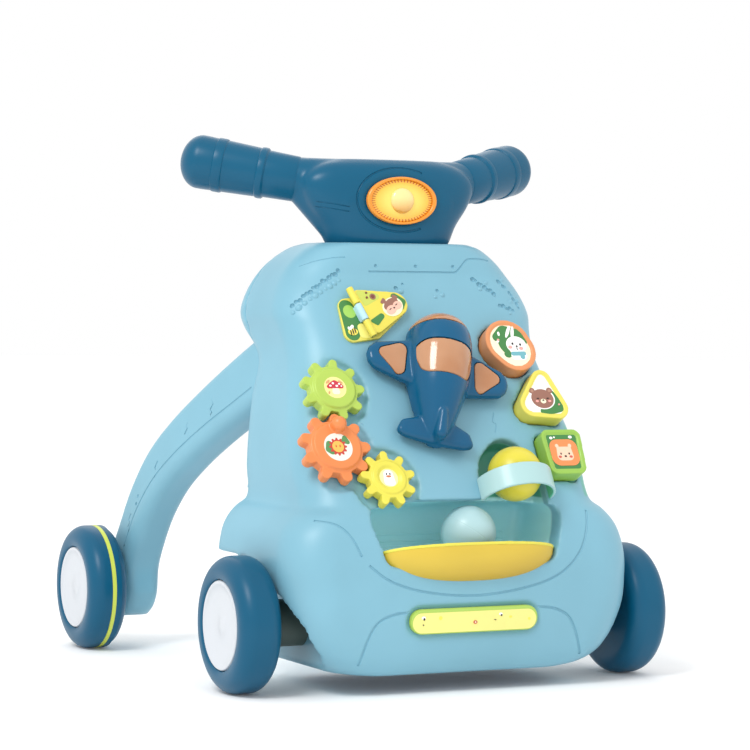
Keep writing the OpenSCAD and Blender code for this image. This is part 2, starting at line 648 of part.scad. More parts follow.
axle_stop = hub_seat + 0.5;         // distance from a hub's face to the axle's end
module front_axle() color(steel) translate([0, front_axle_y, wheel_r])
    bar(axle_d, -front_track_w/2 + axle_stop, front_track_w/2 - axle_stop);
module rear_axles() color(steel) both_sides() translate([0, rear_axle_y, wheel_r])
    bar(axle_d, leg_foot_x - leg_t/2 + wall, overall_w/2 - axle_stop);
mount_d = 38;
mount_start = 79;                    // inner end of the mounts, over the base plate
mount_end = front_track_w/2 - wheel_w - 4;
module axle_mounts() color(dark) both_sides() translate([0, front_axle_y, 0]) difference() {
    union() {
        translate([0, 0, wheel_r]) bar(mount_d, mount_start, mount_end);
        translate([mount_start, -mount_d/2, sole_z + wall]) cube([14, mount_d, wheel_r - sole_z - wall]);
    }
    translate([0, 0, wheel_r]) bar(axle_d, mount_start - 5, mount_end + 5);
}

// electronics inside the body
cell_d = 14.5;
module battery_box() color(dark) difference() {
    translate([-38, -88, 90]) cube([76, 42, 50]);
    translate([-35, -85, 93]) cube([70, 42, 44]);
}
module battery_door() color(sky) translate([-40.5, -46, 88.5]) difference() {
    cube([81, 8, 53]);
    translate([wall, -1, wall]) cube([81 - 2*wall, 9 - wall, 53 - 2*wall]);
}
module batteries() color("#b08d57") for (i = [0 : 2])
    translate([0, -62, 102 + i*13.2]) rotate([0, 90, 0]) cylinder(d = cell_d - 2, h = 50.5, center = true, $fn = 40);
module speaker() color(dark) translate([0, -32, 210]) rotate([90, 0, 0]) {
    cylinder(d = 50, h = 5, $fn = 60);
    cylinder(d1 = 46, d2 = 26, h = 14, $fn = 60);
    cylinder(d = 24, h = 20, $fn = 48);
}
switch_z = 163;
module switch_knob() color(white) translate([0, -42, switch_z]) {
    translate([-8, 0, -11]) cube([16, 5.4, 22]);
    translate([-4, 5, -4]) cube([8, 9, 8]);
}
module screw_set(fit) for (sx = [-1, 1], y = [front_y + 62, -98])
    translate([sx*62, y, sole_z + 0.2]) {
        translate([0, 0, -fit*2]) cylinder(d = 7 + 2*fit, h = 1.6 + fit*2, $fn = 32);
        cylinder(d = 3 + fit, h = 14, $fn = 24);
    }
module screws() color(steel) screw_set(0);

front_shell();
rear_shell();
base_plate();
ball_tray();
ball_hoop();
ball_mint();
ball_yellow();
name_plaque();
gear_green();
gear_orange();
gear_yellow();
gear_posts();
button_round();
button_triangle();
button_square();
key_pad();
flip_page();
flip_base();
flip_pin();
plane_body();
plane_canopy();
plane_nose_lens();
wing_lenses();
handlebar_front();
handlebar_rear();
grip_left();
grip_right();
headlight_bezel();
headlight_lens();
headlight_led();
leg_left_outer();
leg_left_inner();
leg_right_outer();
leg_right_inner();
wheel_front_left();
wheel_front_right();
hub_front_left();
hub_front_right();
wheel_rear_left_outer();
wheel_rear_left_inner();
band_rear_left();
hub_rear_left();
wheel_rear_right_outer();
wheel_rear_right_inner();
band_rear_right();
hub_rear_right();
front_axle();
rear_axles();
axle_mounts();
battery_box();
battery_door();
batteries();
circuit_board();
speaker();
switch_knob();
screws();
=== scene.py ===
import bpy
import bmesh
import json
from math import atan2, copysign, cos, degrees, pi, radians, sin, sqrt, tan
from mathutils import Matrix, Vector
from mathutils.bvhtree import BVHTree


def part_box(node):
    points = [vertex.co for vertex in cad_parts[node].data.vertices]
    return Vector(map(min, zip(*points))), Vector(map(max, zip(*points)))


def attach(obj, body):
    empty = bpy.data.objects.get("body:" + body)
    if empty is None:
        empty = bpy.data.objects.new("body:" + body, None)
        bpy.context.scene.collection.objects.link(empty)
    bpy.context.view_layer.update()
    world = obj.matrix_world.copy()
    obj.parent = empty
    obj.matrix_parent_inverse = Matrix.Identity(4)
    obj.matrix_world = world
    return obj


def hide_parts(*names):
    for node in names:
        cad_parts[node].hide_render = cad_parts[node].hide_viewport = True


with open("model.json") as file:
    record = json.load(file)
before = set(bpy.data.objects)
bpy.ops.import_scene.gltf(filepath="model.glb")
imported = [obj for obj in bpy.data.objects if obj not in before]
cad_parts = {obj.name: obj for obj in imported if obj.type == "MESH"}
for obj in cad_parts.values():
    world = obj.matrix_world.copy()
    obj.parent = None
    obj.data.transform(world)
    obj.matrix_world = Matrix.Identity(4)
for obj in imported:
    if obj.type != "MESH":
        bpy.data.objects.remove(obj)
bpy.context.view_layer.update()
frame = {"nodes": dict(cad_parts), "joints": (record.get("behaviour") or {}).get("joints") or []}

# ---------------------------------------------------------------- studio
# A pale floor, a big soft light from the upper left, a fill from the right and a pale
# world. The camera looks down on the walker a little, from its left and in front.
scene = bpy.context.scene
scene.view_settings.view_transform = "Standard"


def srgb(r, g, b):
    """A colour given in display steps of 0 to 255, as the shader wants it."""
    return tuple(((c/255 + 0.055)/1.055)**2.4 if c > 10 else c/3295 for c in (r, g, b)) + (1.0,)


class Wire:
    """A socket of a material. + - * / add Math nodes, and node() adds any other node."""
    def __init__(self, tree, socket):
        self.tree, self.socket = tree, socket

    def node(self, kind, settings, values, output=0):
        made = self.tree.nodes.new(kind)
        for key, value in settings.items():
            if key == "stops":
                for stop, (place, colour) in zip(made.color_ramp.elements, value):
                    stop.position, stop.color = place, colour
            else:
                setattr(made, key, value)
        for key, value in values.items():
            if isinstance(value, Wire):
                self.tree.links.new(value.socket, made.inputs[key])
            else:
                made.inputs[key].default_value = value
        return Wire(self.tree, made.outputs[output])

    def math(self, operation, a, b=0.0):
        return self.node("ShaderNodeMath", {"operation": operation}, {0: a, 1: b})

    def __add__(self, other): return self.math("ADD", self, other)
    def __radd__(self, other): return self.math("ADD", other, self)
    def __sub__(self, other): return self.math("SUBTRACT", self, other)
    def __rsub__(self, other): return self.math("SUBTRACT", other, self)
    def __mul__(self, other): return self.math("MULTIPLY", self, other)
    def __rmul__(self, other): return self.math("MULTIPLY", other, self)

    def above(self, level, soft):
        """0 well below level and 1 well above it, turning within soft."""
        return self.node("ShaderNodeMapRange", {"clamp": True, "interpolation_type": "SMOOTHSTEP"},
                         {"Value": self, "From Min": level - soft/2, "From Max": level + soft/2})

    def mix(self, a, b):
        """Colour a where this is 0 and b where it is 1."""
        return self.node("ShaderNodeMix", {"data_type": "RGBA"}, {0: self, 6: a, 7: b}, output=2)


def plastic(name, colour, rough=0.36, drift=0.05, grain=0.06, coat=0.0, paint=None, **fixed):
    """Moulded plastic: a slow drift of tone, a fine grain in the gloss and a satin skin.
    paint(wire, x, y, z, base) may add colours that follow the place on the piece."""
    mat = bpy.data.materials.new(name)
    mat.use_nodes = True
    tree = mat.node_tree
    shader = tree.nodes["Principled BSDF"]
    start = Wire(tree, tree.nodes.new("ShaderNodeTexCoord").outputs["Object"])
    tone = start.node("ShaderNodeTexNoise", {},
                      {"Vector": start, "Scale": 9.0, "Detail": 3.0, "Roughness": 0.5})
    fine = start.node("ShaderNodeTexNoise", {}, {"Vector": start, "Scale": 1400.0, "Detail": 1.0})
    pale, dark = [tuple(c*share for c in colour[:3]) + (1.0,) for share in (1 + drift, 1 - drift)]
    base = tone.above(0.5, 0.5).mix(pale, dark)
    if paint:
        axes = [start.node("ShaderNodeSeparateXYZ", {}, {0: start}, output=k) for k in range(3)]
        base = paint(start, *axes, base)
    tree.links.new(base.socket, shader.inputs["Base Color"])
    tree.links.new((rough - 0.05 + 0.08*tone + grain*(fine - 0.5)).socket, shader.inputs["Roughness"])
    bump = start.node("ShaderNodeBump", {}, {"Height": fine, "Strength": 0.12, "Distance": 0.0001})
    tree.links.new(bump.socket, shader.inputs["Normal"])
    shader.inputs["Coat Weight"].default_value = coat
    shader.inputs["Coat Roughness"].default_value = 0.12
    for key, value in fixed.items():
        shader.inputs[key.replace("_", " ")].default_value = value
    return mat


def light(name, place, size, power, colour=(1, 1, 1)):
    lamp = bpy.data.lights.new(name, "AREA")
    lamp.size, lamp.energy, lamp.color = size, power, colour
    holder = bpy.data.objects.new(name, lamp)
    holder.location = place
    holder.rotation_mode = "QUATERNION"
    holder.rotation_quaternion = (Vector((0, 0, 0.2)) - Vector(place)).to_track_quat("-Z", "Y")
    scene.collection.objects.link(holder)


light("key_light", (-1.7, -1.2, 2.3), 1.0, 37)
light("fill_light", (2.2, -1.8, 1.2), 2.0, 1.5)
light("back_light", (0.6, 2.2, 1.8), 1.6, 5)
scene.world = bpy.data.worlds.new("studio")
scene.world.use_nodes = True
scene.world.node_tree.nodes["Background"].inputs["Color"].default_value = (1, 1, 1, 1)
scene.world.node_tree.nodes["Background"].inputs["Strength"].default_value = 1.0

floor_bm = bmesh.new()
bmesh.ops.create_circle(floor_bm, segments=96, radius=14, cap_ends=True)
floor_mesh = bpy.data.meshes.new("floor")
floor_bm.to_mesh(floor_mesh)
floor_bm.free()
floor = bpy.data.objects.new("floor", floor_mesh)
scene.collection.objects.link(floor)
floor_mesh.materials.append(plastic("pale_floor", (0.97, 0.97, 0.97, 1), rough=0.9, drift=0.002,
                                    Emission_Color=(1, 1, 1, 1), Emission_Strength=0.04))

yaw, pitch, roll = radians(25.42), radians(1.45), radians(0.41)
look = Vector((sin(yaw)*cos(pitch), cos(yaw)*cos(pitch), -sin(pitch)))
right = Vector((cos(yaw), -sin(yaw), 0))
above = right.cross(look)
camera = bpy.data.objects.new("camera", bpy.data.cameras.new("camera"))
camera.data.sensor_width, camera.data.lens = 36, 134.18
camera.data.clip_end = 50
turn = Matrix((right*cos(roll) + above*sin(roll), above*cos(roll) - right*sin(roll), -look)).transposed()
camera.matrix_world = Matrix.Translation((-1.0303, -2.1996, 0.3105)) @ turn.to_4x4()
scene.collection.objects.link(camera)
scene.camera = camera

# ---------------------------------------------------------------- body shells
# Two thin sky-blue mouldings, front and back, joined along a slanting line down the sides.
# The front one leans back as the play panel, swells over the front wheels, and holds the
# ball bin, the gear wells and the keys. Every edge of a moulding is a little rounded.
sky = srgb(122, 175, 194)
teal = srgb(204, 250, 254)
lean = radians(29)
panel_foot = Vector((0, -201, 150))
PANEL = Matrix.Translation(panel_foot) @ Matrix.Rotation(pi/2 - lean, 4, "X")
ring_points = 64


def on_panel(u, v, h=0, turn=0):
    """The place of a piece on the panel, in millimetres: across, up the panel and out of it."""
    return PANEL @ Matrix.Translation((u, v, h)) @ Matrix.Rotation(radians(turn), 4, "Z")


def eased(table, steps):
    """Rows of numbers, the first of each rising, filled in with a smooth curve through them."""
    def slope(i, k):
        a, b = max(i - 1, 0), min(i + 1, len(table) - 1)
        return (table[b][k] - table[a][k])/(table[b][0] - table[a][0])
    rows = []
    for i in range(len(table) - 1):
        gap = table[i + 1][0] - table[i][0]
        for step in range(steps if i < len(table) - 2 else steps + 1):
            t = step/steps
            rows.append([table[i][0] + t*gap] + [
                (2*t**3 - 3*t**2 + 1)*table[i][k] + (t**3 - 2*t**2 + t)*gap*slope(i, k)
                + (3*t**2 - 2*t**3)*table[i + 1][k] + (t**3 - t**2)*gap*slope(i + 1, k)
                for k in range(1, len(table[0]))])
    return rows


def loft(rings, points=ring_points):
    """A closed skin over rings, each a function that gives a point for an angle."""
    bm = bmesh.new()
    loops = []
    for place in rings:
        made = bmesh.ops.create_circle(bm, segments=points, radius=1)["verts"]
        for v in made:
            v.co = place(atan2(v.co.y, v.co.x))
        loops.append(list({e for v in made for e in v.link_edges}))
    for low, high in zip(loops, loops[1:]):
        bmesh.ops.bridge_loops(bm, edges=low + high)
    for end in (loops[0], loops[-1]):
        bmesh.ops.contextual_create(bm, geom=end)
    bmesh.ops.recalc_face_normals(bm, faces=bm.faces)
    return bm


def skinned(bm):
    """Stretches a closed skin over loose points and drops the points inside it."""
    made = bmesh.ops.convex_hull(bm, input=bm.verts)
    spare = {g for g in made["geom_interior"] + made["geom_unused"] if isinstance(g, bmesh.types.BMVert)}
    bmesh.ops.delete(bm, geom=list(spare), context="VERTS")
    bmesh.ops.recalc_face_normals(bm, faces=bm.faces)
    return bm


def moved(bm, matrix):
    bmesh.ops.transform(bm, matrix=matrix, verts=bm.verts)
    return bm


def hull(balls, segments=20):
    """The skin stretched over balls, each given as centre and radius."""
    bm = bmesh.new()
    for x, y, z, r in balls:
        bmesh.ops.create_uvsphere(bm, u_segments=segments, v_segments=segments//2, radius=r,
                                  matrix=Matrix.Translation((x, y, z)))
    bmesh.ops.delete(bm, geom=bm.edges[:], context="EDGES_FACES")
    return skinned(bm)


def disc(r, low, high, matrix=Matrix(), top_r=None, segments=64):
    """A round block, from low to high along its own axis."""
    bm = bmesh.new()
    bmesh.ops.create_cone(bm, cap_ends=True, segments=segments, radius1=r, depth=high - low,
                          radius2=r if top_r is None else top_r,
                          matrix=matrix @ Matrix.Translation((0, 0, (low + high)/2)))
    return bm


def slab(outline, low, high, matrix=Matrix()):
    """A flat block whose outline is stretched round circles, each given as x, y and radius."""
    bm = bmesh.new()
    for x, y, r in outline:
        for z in (low, high):
            bmesh.ops.create_circle(bm, segments=40, radius=r, matrix=Matrix.Translation((x, y, z)))
    skinned(bm)
    bmesh.ops.dissolve_limit(bm, angle_limit=radians(1), verts=bm.verts, edges=bm.edges)
    return moved(bm, matrix)


def blank(bm):
    """A bare object made of a bmesh, for modifiers to work on."""
    mesh = bpy.data.meshes.new("blank")
    bm.to_mesh(mesh)
    bm.free()
    holder = bpy.data.objects.new("blank", mesh)
    scene.collection.objects.link(holder)
    return holder


def moulded(parts, cuts=(), keep=None, voxel=1.2, soften=4, crisp=(), relief=()):
    """Closed bmeshes joined, others cut out of them, and every edge rounded. After the
    rounding relief is added and crisp is cut, for fine lumps and grooves."""
    work = blank(parts[0])
    tools = [(blank(b), "UNION") for b in parts[1:]] + [(blank(b), "DIFFERENCE") for b in cuts]
    if keep:
        tools.append((blank(keep), "INTERSECT"))
    for tool, operation in tools:
        step = work.modifiers.new(operation, "BOOLEAN")
        step.object, step.operation, step.solver = tool, operation, "MANIFOLD"
    remesh = work.modifiers.new("remesh", "REMESH")
    remesh.mode, remesh.voxel_size = "VOXEL", voxel
    smooth = work.modifiers.new("smooth", "SMOOTH")
    smooth.factor, smooth.iterations = 0.5, soften
    late = [blank(b) for b in [*relief, *crisp]]
    for i, tool in enumerate(late):
        step = work.modifiers.new("fine", "BOOLEAN")
        step.object, step.solver = tool, "MANIFOLD"
        step.operation = "UNION" if i < len(relief) else "DIFFERENCE"
    bpy.context.view_layer.update()
    bm = bmesh.new()
    bm.from_object(work, bpy.context.evaluated_depsgraph_get())
    for holder in [work] + late + [tool for tool, operation in tools]:
        bpy.data.objects.remove(holder)
    return bm


def piece(name, bm, body, material, nodes=(), crease=40):
    """Makes a bmesh in millimetres a piece that rides on a body and stands for CAD nodes."""
    mesh = bpy.data.meshes.new(name)
    moved(bm, Matrix.Scale(0.001, 4)).to_mesh(mesh)
    bm.free()
    obj = bpy.data.objects.new(name, mesh)
    scene.collection.objects.link(obj)
    for mat in material if isinstance(material, list) else [material]:
        mesh.materials.append(mat)
    mesh.shade_smooth()
    mesh.set_sharp_from_angle(angle=radians(crease))
    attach(obj, body)
    if nodes:
        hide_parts(*nodes)
    return obj


def section(z, half_w, front, back, r):
    """A rounded box section of the body at one height."""
    def place(a):
        x = copysign(half_w - r, cos(a)) + r*cos(a)
        y = (back - r if sin(a) > 0 else front + r) + r*sin(a)
        return Vector((x, y, z))
    return place


def face_y(z):
    """How far forward the panel's face is at a height."""
    return panel_foot.y + (z - panel_foot.z)*tan(lean)


# height, half width, front, back and corner radius of the body
upper = [[150, 131, -201, -33, 36], [176, 131, face_y(176), -30, 38], [206, 128, face_y(206), -27, 38],
         [235, 121, face_y(235), -18, 38], [262, 114.5, face_y(262), -16, 38],
         [276, 113.5, face_y(276), -4, 38], [290, 115.5, face_y(290), 13, 38],
         [303, 118, face_y(303), 17, 38], [320, 113, face_y(320), 15, 36],
         [335, 104, face_y(334), 12, 34], [346, 95, face_y(340), 6, 32],
         [354, 86, face_y(346), -2, 30], [359, 78, face_y(351), -9, 28],
         [361.9, 68, face_y(357), -16, 26]]
swell = [[15.1, 95, -206, -60, 30], [18, 112, -210, -56, 32], [24, 125, -214, -50, 33],
         [34, 136, -217, -46, 34], [50, 146, -219, -40, 36], [69, 153, -220, -36, 38],
         [88, 156, -219, -30, 40], [104, 156.4, -218, -28, 40], [120, 154, -215, -28, 40],
         [132, 149, -211, -28, 38], [143, 140, -206, -30, 37]]
plain = [[15.1, 97, -207, -64, 34], [46, 116, -217, -50, 36], [100, 119, -216, -42, 36]]


def body_form(table):
    return loft([section(*row) for row in eased(table, 4)])


def block(low, high):
    """A plain block between two corners, to cut with or to keep what lies inside it."""
    bm = bmesh.new()
    low, high = Vector(low), Vector(high)
    bmesh.ops.create_cube(bm, size=1, matrix=Matrix.Translation((low + high)/2)
                          @ Matrix.Diagonal((*(high - low), 1)))
    return bm


seam_gap = 0.3
seam = Matrix.Translation((0, -45, 171)) @ Matrix.Rotation(radians(-9.6), 4, "X")


def beyond_seam(side):
    """Everything behind (1) or in front (-1) of the line where the shells meet."""
    near, far = (seam_gap, 500) if side > 0 else (-500, -seam_gap)
    return moved(block((-300, near, -500), (300, far, 500)), seam)


gear_places = {}
for joint in frame["joints"]:
    if joint["name"].endswith("gear_spin"):
        gear_places[joint["child"]] = Vector(joint["pos_m"])*1000
well_r = {"green_gear": 32, "orange_gear": 35.5, "yellow_gear": 29.5}


def facing_panel(place):
    """A frame at a place, its own axis pointing out of the panel."""
    return Matrix.Translation(place) @ Matrix.Rotation(pi/2 - lean, 4, "X")


axle_y, wheel_r = -151, 55


def arch(side):
    """The opening over a front wheel: a round hood that runs out flat to the back."""
    inner, outer = (122, 240) if side > 0 else (-240, -122)
    tall = [(-15, 46, 38), (39, 76, 30)]
    rear = [(y, z, 46) for z in (60, 0) for y in (60, 200)]
    low = [(y, z, 20) for z in (15, -20) for y in (-20, 200)]
    # the outlines give length and height, so the blocks are stood up along the walker
    stand = Matrix(((0, 0, 1, 0), (1, 0, 0, axle_y), (0, 1, 0, 0), (0, 0, 0, 1)))
    return [slab(outline, inner, outer, stand) for outline in (tall, rear, low)]


bin_corners = [(78, -221, 141), (68, -241, 111), (74, -151, 138), (70, -151, 111), (30, -217, 148)]
bin_balls = [(s*x, y, z, 8) for x, y, z in bin_corners for s in (-1, 1)]
round_key = [(-1.5, 3, 21), (3, -4, 19.5)]
triangle_key = [(3, 14, 9), (-11, -9, 11.5), (11, -12, 10.5)]
square_key = [(-11.5, 13, 7), (11.5, 13, 7), (10, -13.5, 7), (-10, -13.5, 7)]
key_places = {"round": (72, 139), "triangle": (90, 93), "square": (97.5, 40.5)}
key_outlines = {"round": round_key, "triangle": triangle_key, "square": square_key}
plane_place = (-4, 104)


def grown(outline, by):
    return [(x, y, r + by) for x, y, r in outline]


def pocket():
    """The ball's way in behind the hoop."""
    bm = bmesh.new()
    for u, v, r in ((49, 26, 28), (49, 40, 18), (49, -8, 28)):
        for h in (-22, 20 if v > 0 else 2):
            bmesh.ops.create_circle(bm, segments=48, radius=r, matrix=on_panel(u, v, h))
    return skinned(bm)


def tube(points, r):
    """A thin bar with closed ends along points, used to cut fine grooves."""
    rings = []
    for i, p in enumerate(points):
        way = (points[min(i + 1, len(points) - 1)] - points[max(i - 1, 0)]).normalized()
        one = way.cross(Vector((0.31, 0.95, 0.17))).normalized()
        two = way.cross(one)
        rings.append(lambda a, p=p, one=one, two=two: p + (one*cos(a) + two*sin(a))*r)
    return loft(rings, 12)


def key_holes():
    """The openings round the keys and the aeroplane's stem."""
    return [slab(grown(key_outlines[k], 0.7), -9, 40, on_panel(*key_places[k])) for k in key_places] + [
        disc(10.7, -9, 30, on_panel(*plane_place))]


stand_up = Matrix.Rotation(pi/2, 4, "X")
plaque = [(-47, 0, 10), (47, 0, 10)]
plaque_frame = Matrix.Translation((0, 0, 59)) @ stand_up
base_hole = [(s*64, y, 30.4) for s in (-1, 1) for y in (-171, -98.5)]
cuts = [*arch(1), *arch(-1), hull(bin_balls), pocket(), beyond_seam(1)]
cuts += [disc(well_r[g], -5, 30, facing_panel(p)) for g, p in gear_places.items()]
cuts += [*key_holes(), slab(grown(plaque, 3.4), 216.6, 260, plaque_frame), slab(base_hole, 0, 18.2)]


def shell_paint(wire, x, y, z, base):
    """The inside of the bin is coloured teal, with painted shade darkening its upper part, and the ball's
    pocket is painted a darker green as shade in the recess.
    """
    rise = wire.math("MAXIMUM", z - 0.150, 0.0)
    depth = y + 0.2165 - (z - 0.120).above(0.0, 0.08)*0.012 - rise*tan(lean)
    level = z.above(0.101, 0.001)*(1 - z.above(0.21, 0.01))
    inside = depth.above(0.0125, 0.004)*level*(1 - y.above(-0.139, 0.002))
    between = 1 - wire.math("ABSOLUTE", x).above(0.092, 0.004)
    # painted shade: the upper part of the bin's lining is a darker blue
    lining_with_top_shade = (z - 0.108).above(0.03, 0.06).mix(teal, srgb(172, 234, 246))
    # painted shade: the ball's pocket behind the hoop is a darker green
    green = inside*x.above(0.018, 0.001)*z.above(0.153, 0.002)
    return green.mix((inside*between).mix(base, lining_with_top_shade), srgb(92, 176, 160))


def polished(points):
    """A run of points with its corners cut three times over."""
    for _ in range(3):
        cut = [points[0]]
        for a, b in zip(points, points[1:]):
            cut += [a*0.75 + b*0.25, a*0.25 + b*0.75]
        points = cut + [points[-1]]
    return points


def strewn(points, surface, way):
    """Points moved on to the surface, along the direction way."""
    hits = [surface.ray_cast(p - way*60, way)[0] for p in points]
    return [h for h in hits if h]


def lump(place, r):
    bm = bmesh.new()
    bmesh.ops.create_icosphere(bm, subdivisions=3, radius=r, matrix=Matrix.Translation(place))
    return bm


sky_plastic = plastic("sky_plastic", sky, rough=0.4)
front_plastic = plastic("front_plastic", sky, rough=0.4, paint=shell_paint)
shell_voxel = 2.15
form = body_form(swell + upper)
surface = BVHTree.FromBMesh(form)
inward, back_way = PANEL.to_3x3() @ Vector((0, 0, -1)), Vector((0, 1, 0))


def panel_line(spots):
    return strewn(polished([on_panel(u, v).translation for u, v in spots]), surface, inward)


def face_line(spots):
    return strewn(polished([Vector((x, -216, z)) for x, z in spots]), surface, back_way)


def on_skin(u, v, depth=0):
    """The place on the body's skin over a place of the panel, or below it by a depth."""
    return strewn([on_panel(u, v).translation], surface, inward)[0] + inward*depth


# grooves: the brow, the lens under the tray, the creases beside the bin and the bumper
grooves = [tube(panel_line([(-38, 214), (38, 214), (44, 214), (54, 225), (58, 226), (78, 227)]), 0.9),
           tube(panel_line([(-94, 225), (-58, 226)]), 0.6),
           tube(face_line([(-92, 105), (-76, 92), (-46, 82), (0, 77), (46, 82), (78, 91), (98, 108),
                           (107, 128), (110, 143)]), 1.1),
           tube(face_line([(-131, 140), (-116, 138), (-105, 128), (-98, 112)]), 1.0)]
bumper = [(56, 67), (72, 66), (86, 60), (93, 48), (97, 36), (100, 26)]
grooves += [tube(face_line([(s*x, z) for x, z in bumper]), 1.2) for s in (-1, 1)]
# small dents along the brow, and rough patches of dents in the upper corners
dents = [(u, 219, 1.5) for u in (-31, 6, 41)]
for u, v, along, up, count in ((-108, 188, 3.0, 1.85, 15), (58, 208, 2.4, -1.9, 8), (83, 207, 2.0, -1.7, 4),
                               (92, 197, 1.2, -2.6, 6), (78, 183, 3.1, -1.0, 5)):
    dents += [(u + along*i, v + up*i + 0.9*sin(2.3*i), 1.5 + 0.85*abs(sin(1.7*i + u))) for i in range(count)]
dents += [(-16, 199, 2.0), (-9, 203, 1.2), (22, 197, 1.6)]
dimples = [lump(on_skin(u, v), r) for u, v, r in dents]
# lumps beside the dents, and thin ribs along the bin's back wall
lumps = [(63, 199, 2.6), (70, 205, 2.2), (75, 193, 2.0), (88, 210, 1.8), (90, 188, 2.2), (99, 191, 2.0),
         (-12, 196, 3.2), (26, 193, 2.8), (19, 191, 2.2), (86, 176, 2.0)]
lumps += [(-108 + 4.6*i, 181.5 + 2.7*i, 2.1 + 0.7*((i*5) % 3)) for i in range(10)]
raised = [lump(on_skin(u, v, 0.55*r), r) for u, v, r in lumps]
raised += [tube([Vector((x, -142.9, z)) for x in range(-66, 67, 12)], 0.75)
           for z in (108.5, 112.5, 116.5, 122)]
# small creases on the panel beside the aeroplane
for points in ([(-78, 66), (-73, 73), (-77, 74), (-70, 82)], [(44, 64), (47, 72), (43, 73), (47, 82)]):
    grooves.append(tube(panel_line(points), 0.6))
front = moulded([form], cuts, voxel=shell_voxel, soften=5, relief=raised,
                crisp=grooves + dimples + key_holes())
piece("front_moulding", front, "walker", front_plastic, ["front_shell"])
# openings in the back: the switch's slot, the battery door and the speaker's holes
switch_slot, door_hole = block((-4.6, -38, 155.4), (4.6, 0, 170.6)), block((-41, -50, 88), (41, 0, 142))
speaker_holes = [disc(2, -30, 30, Matrix.Translation((i*9, -30, 210 + k*9)) @ stand_up, segments=20)
                 for i in range(-2, 3) for k in range(-2, 3)]
rear = moulded([body_form(plain + upper)], [beyond_seam(-1), switch_slot, door_hole],
               voxel=shell_voxel, soften=5, crisp=speaker_holes)
piece("rear_moulding", rear, "walker", sky_plastic, ["rear_shell"])

# ---------------------------------------------------------------- tray, hoop and balls
# The tray is a golden boat-shaped lip that keeps the balls in the bin, with a bright bead
# along its rim. The half-round hoop above it and the two hollow balls are pale mint and
# lemon; each ball is two blown halves with a fine seam.
golden = srgb(212, 182, 62)
lemon = srgb(224, 214, 78)
pale_mint = srgb(172, 208, 208)
bowl_r, bowl_half, bowl_y, bowl_z = 27, 78, -204, 112
bowl_curve = 2.4


def bowl(grow):
    """A boat turned about a line across the walker, full towards its blunt ends."""
    rings = []
    for i in range(61):
        x = -(bowl_half + grow - 0.02)*cos(pi*i/60)
        r = (bowl_r + grow)*(1 - abs(x/(bowl_half + grow))**bowl_curve)**(1/bowl_curve)
        rings.append(lambda a, x=x, r=r: Vector((x, bowl_y + r*cos(a), bowl_z + r*sin(a))))
    return loft(rings)


def tray_level(low, high):
    """The space between two planes that slope down towards the back, as the rim does."""
    rim_slope = Matrix.Translation((0, bowl_y, bowl_z + 1)) @ Matrix.Rotation(radians(-20), 4, "X")
    return moved(block((-120, -60, low), (120, 60, high)), rim_slope)


def behind_tray():
    return block((-120, -194.6, 60), (120, -150, 180))


tray = moulded([bowl(-0.4)], [bowl(-3), tray_level(-1.2, 60), behind_tray()], voxel=1.0, soften=3)


def tray_shade_paint(wire, x, y, z, base):
    """Painted shade: the gold darkens towards the bottom and towards the right, away from the light."""
    return (z - x*0.12).above(0.094, 0.036).mix(srgb(186, 148, 36), base)


piece("tray_lip", tray, "walker", plastic("golden_plastic", golden, rough=0.4, paint=tray_shade_paint),
      ["ball_tray"])
rim = moulded([bowl(0.3)], [bowl(-3), behind_tray()], keep=tray_level(-2.6, 0), voxel=0.7, soften=4)
lemon_plastic = plastic("lemon_plastic", lemon, rough=0.38)
piece("tray_rim", rim, "walker", lemon_plastic)


def hoop_inner_shade(wire, x, y, z, base):
    """Painted shade: the inside of the hoop is painted a deeper green, where shade falls."""
    out = (z - 0.150)*sin(lean) - (y + 0.201)*cos(lean)
    across = x - 0.049
    return (1 - (out*out + across*across).above(0.0304**2, 0.00002)).mix(base, srgb(96, 190, 156))


hoop_r, hoop_bore, hoop_width = 32.5, 29.6, 19
hoop_frame = on_panel(49, 3) @ Matrix.Rotation(-pi/2, 4, "X")
below_panel = moved(block((-60, -60, -60), (60, 60, -0.6)), on_panel(49, 10))
hoop_hole = disc(hoop_bore, -2, hoop_width + 2, hoop_frame, segments=128)
hoop = moulded([disc(hoop_r, 0, hoop_width, hoop_frame, segments=128)], [hoop_hole, below_panel],
               voxel=0.6, soften=3)
piece("drop_hoop", hoop, "walker", plastic("mint_plastic", pale_mint, rough=0.3, paint=hoop_inner_shade),
      ["ball_hoop"])


def turned(profile, matrix=Matrix(), steps=96):
    """A turned shape from points given as radius and height along its axis."""
    bm = bmesh.new()
    line = [bm.verts.new((r, 0, z)) for r, z in profile]
    edges = [bm.edges.new(pair) for pair in zip(line, line[1:])]
    bmesh.ops.spin(bm, geom=line + edges, axis=(0, 0, 1), cent=(0, 0, 0), angle=2*pi, steps=steps,
                   use_merge=True)
    bmesh.ops.remove_doubles(bm, verts=bm.verts, dist=0.002)
    bmesh.ops.recalc_face_normals(bm, faces=bm.faces)
    return moved(bm, matrix)


def arc(r, z, radius, start, end, steps=10):
    """Points of an arc in a profile, its angles in degrees."""
    turns = [radians(start + (end - start)*i/steps) for i in range(steps + 1)]
    return [(max(0, r + radius*cos(t)), z + radius*sin(t)) for t in turns]


ball_r = 22.5


def ball(place, tilt):
    """A hollow ball with the fine sunken line where its halves meet."""
    groove = [(ball_r, -0.5), (ball_r - 0.08, -0.3), (ball_r - 0.08, 0.3), (ball_r, 0.5)]
    profile = arc(0, 0, ball_r, -90, -2, 30) + groove + arc(0, 0, ball_r, 2, 90, 30)
    return turned(profile, Matrix.Translation(place) @ Matrix.Rotation(radians(tilt), 4, "Y"))


def middle(node):
    """The middle of a CAD node, in millimetres."""
    low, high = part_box(node)
    return (low + high)*500


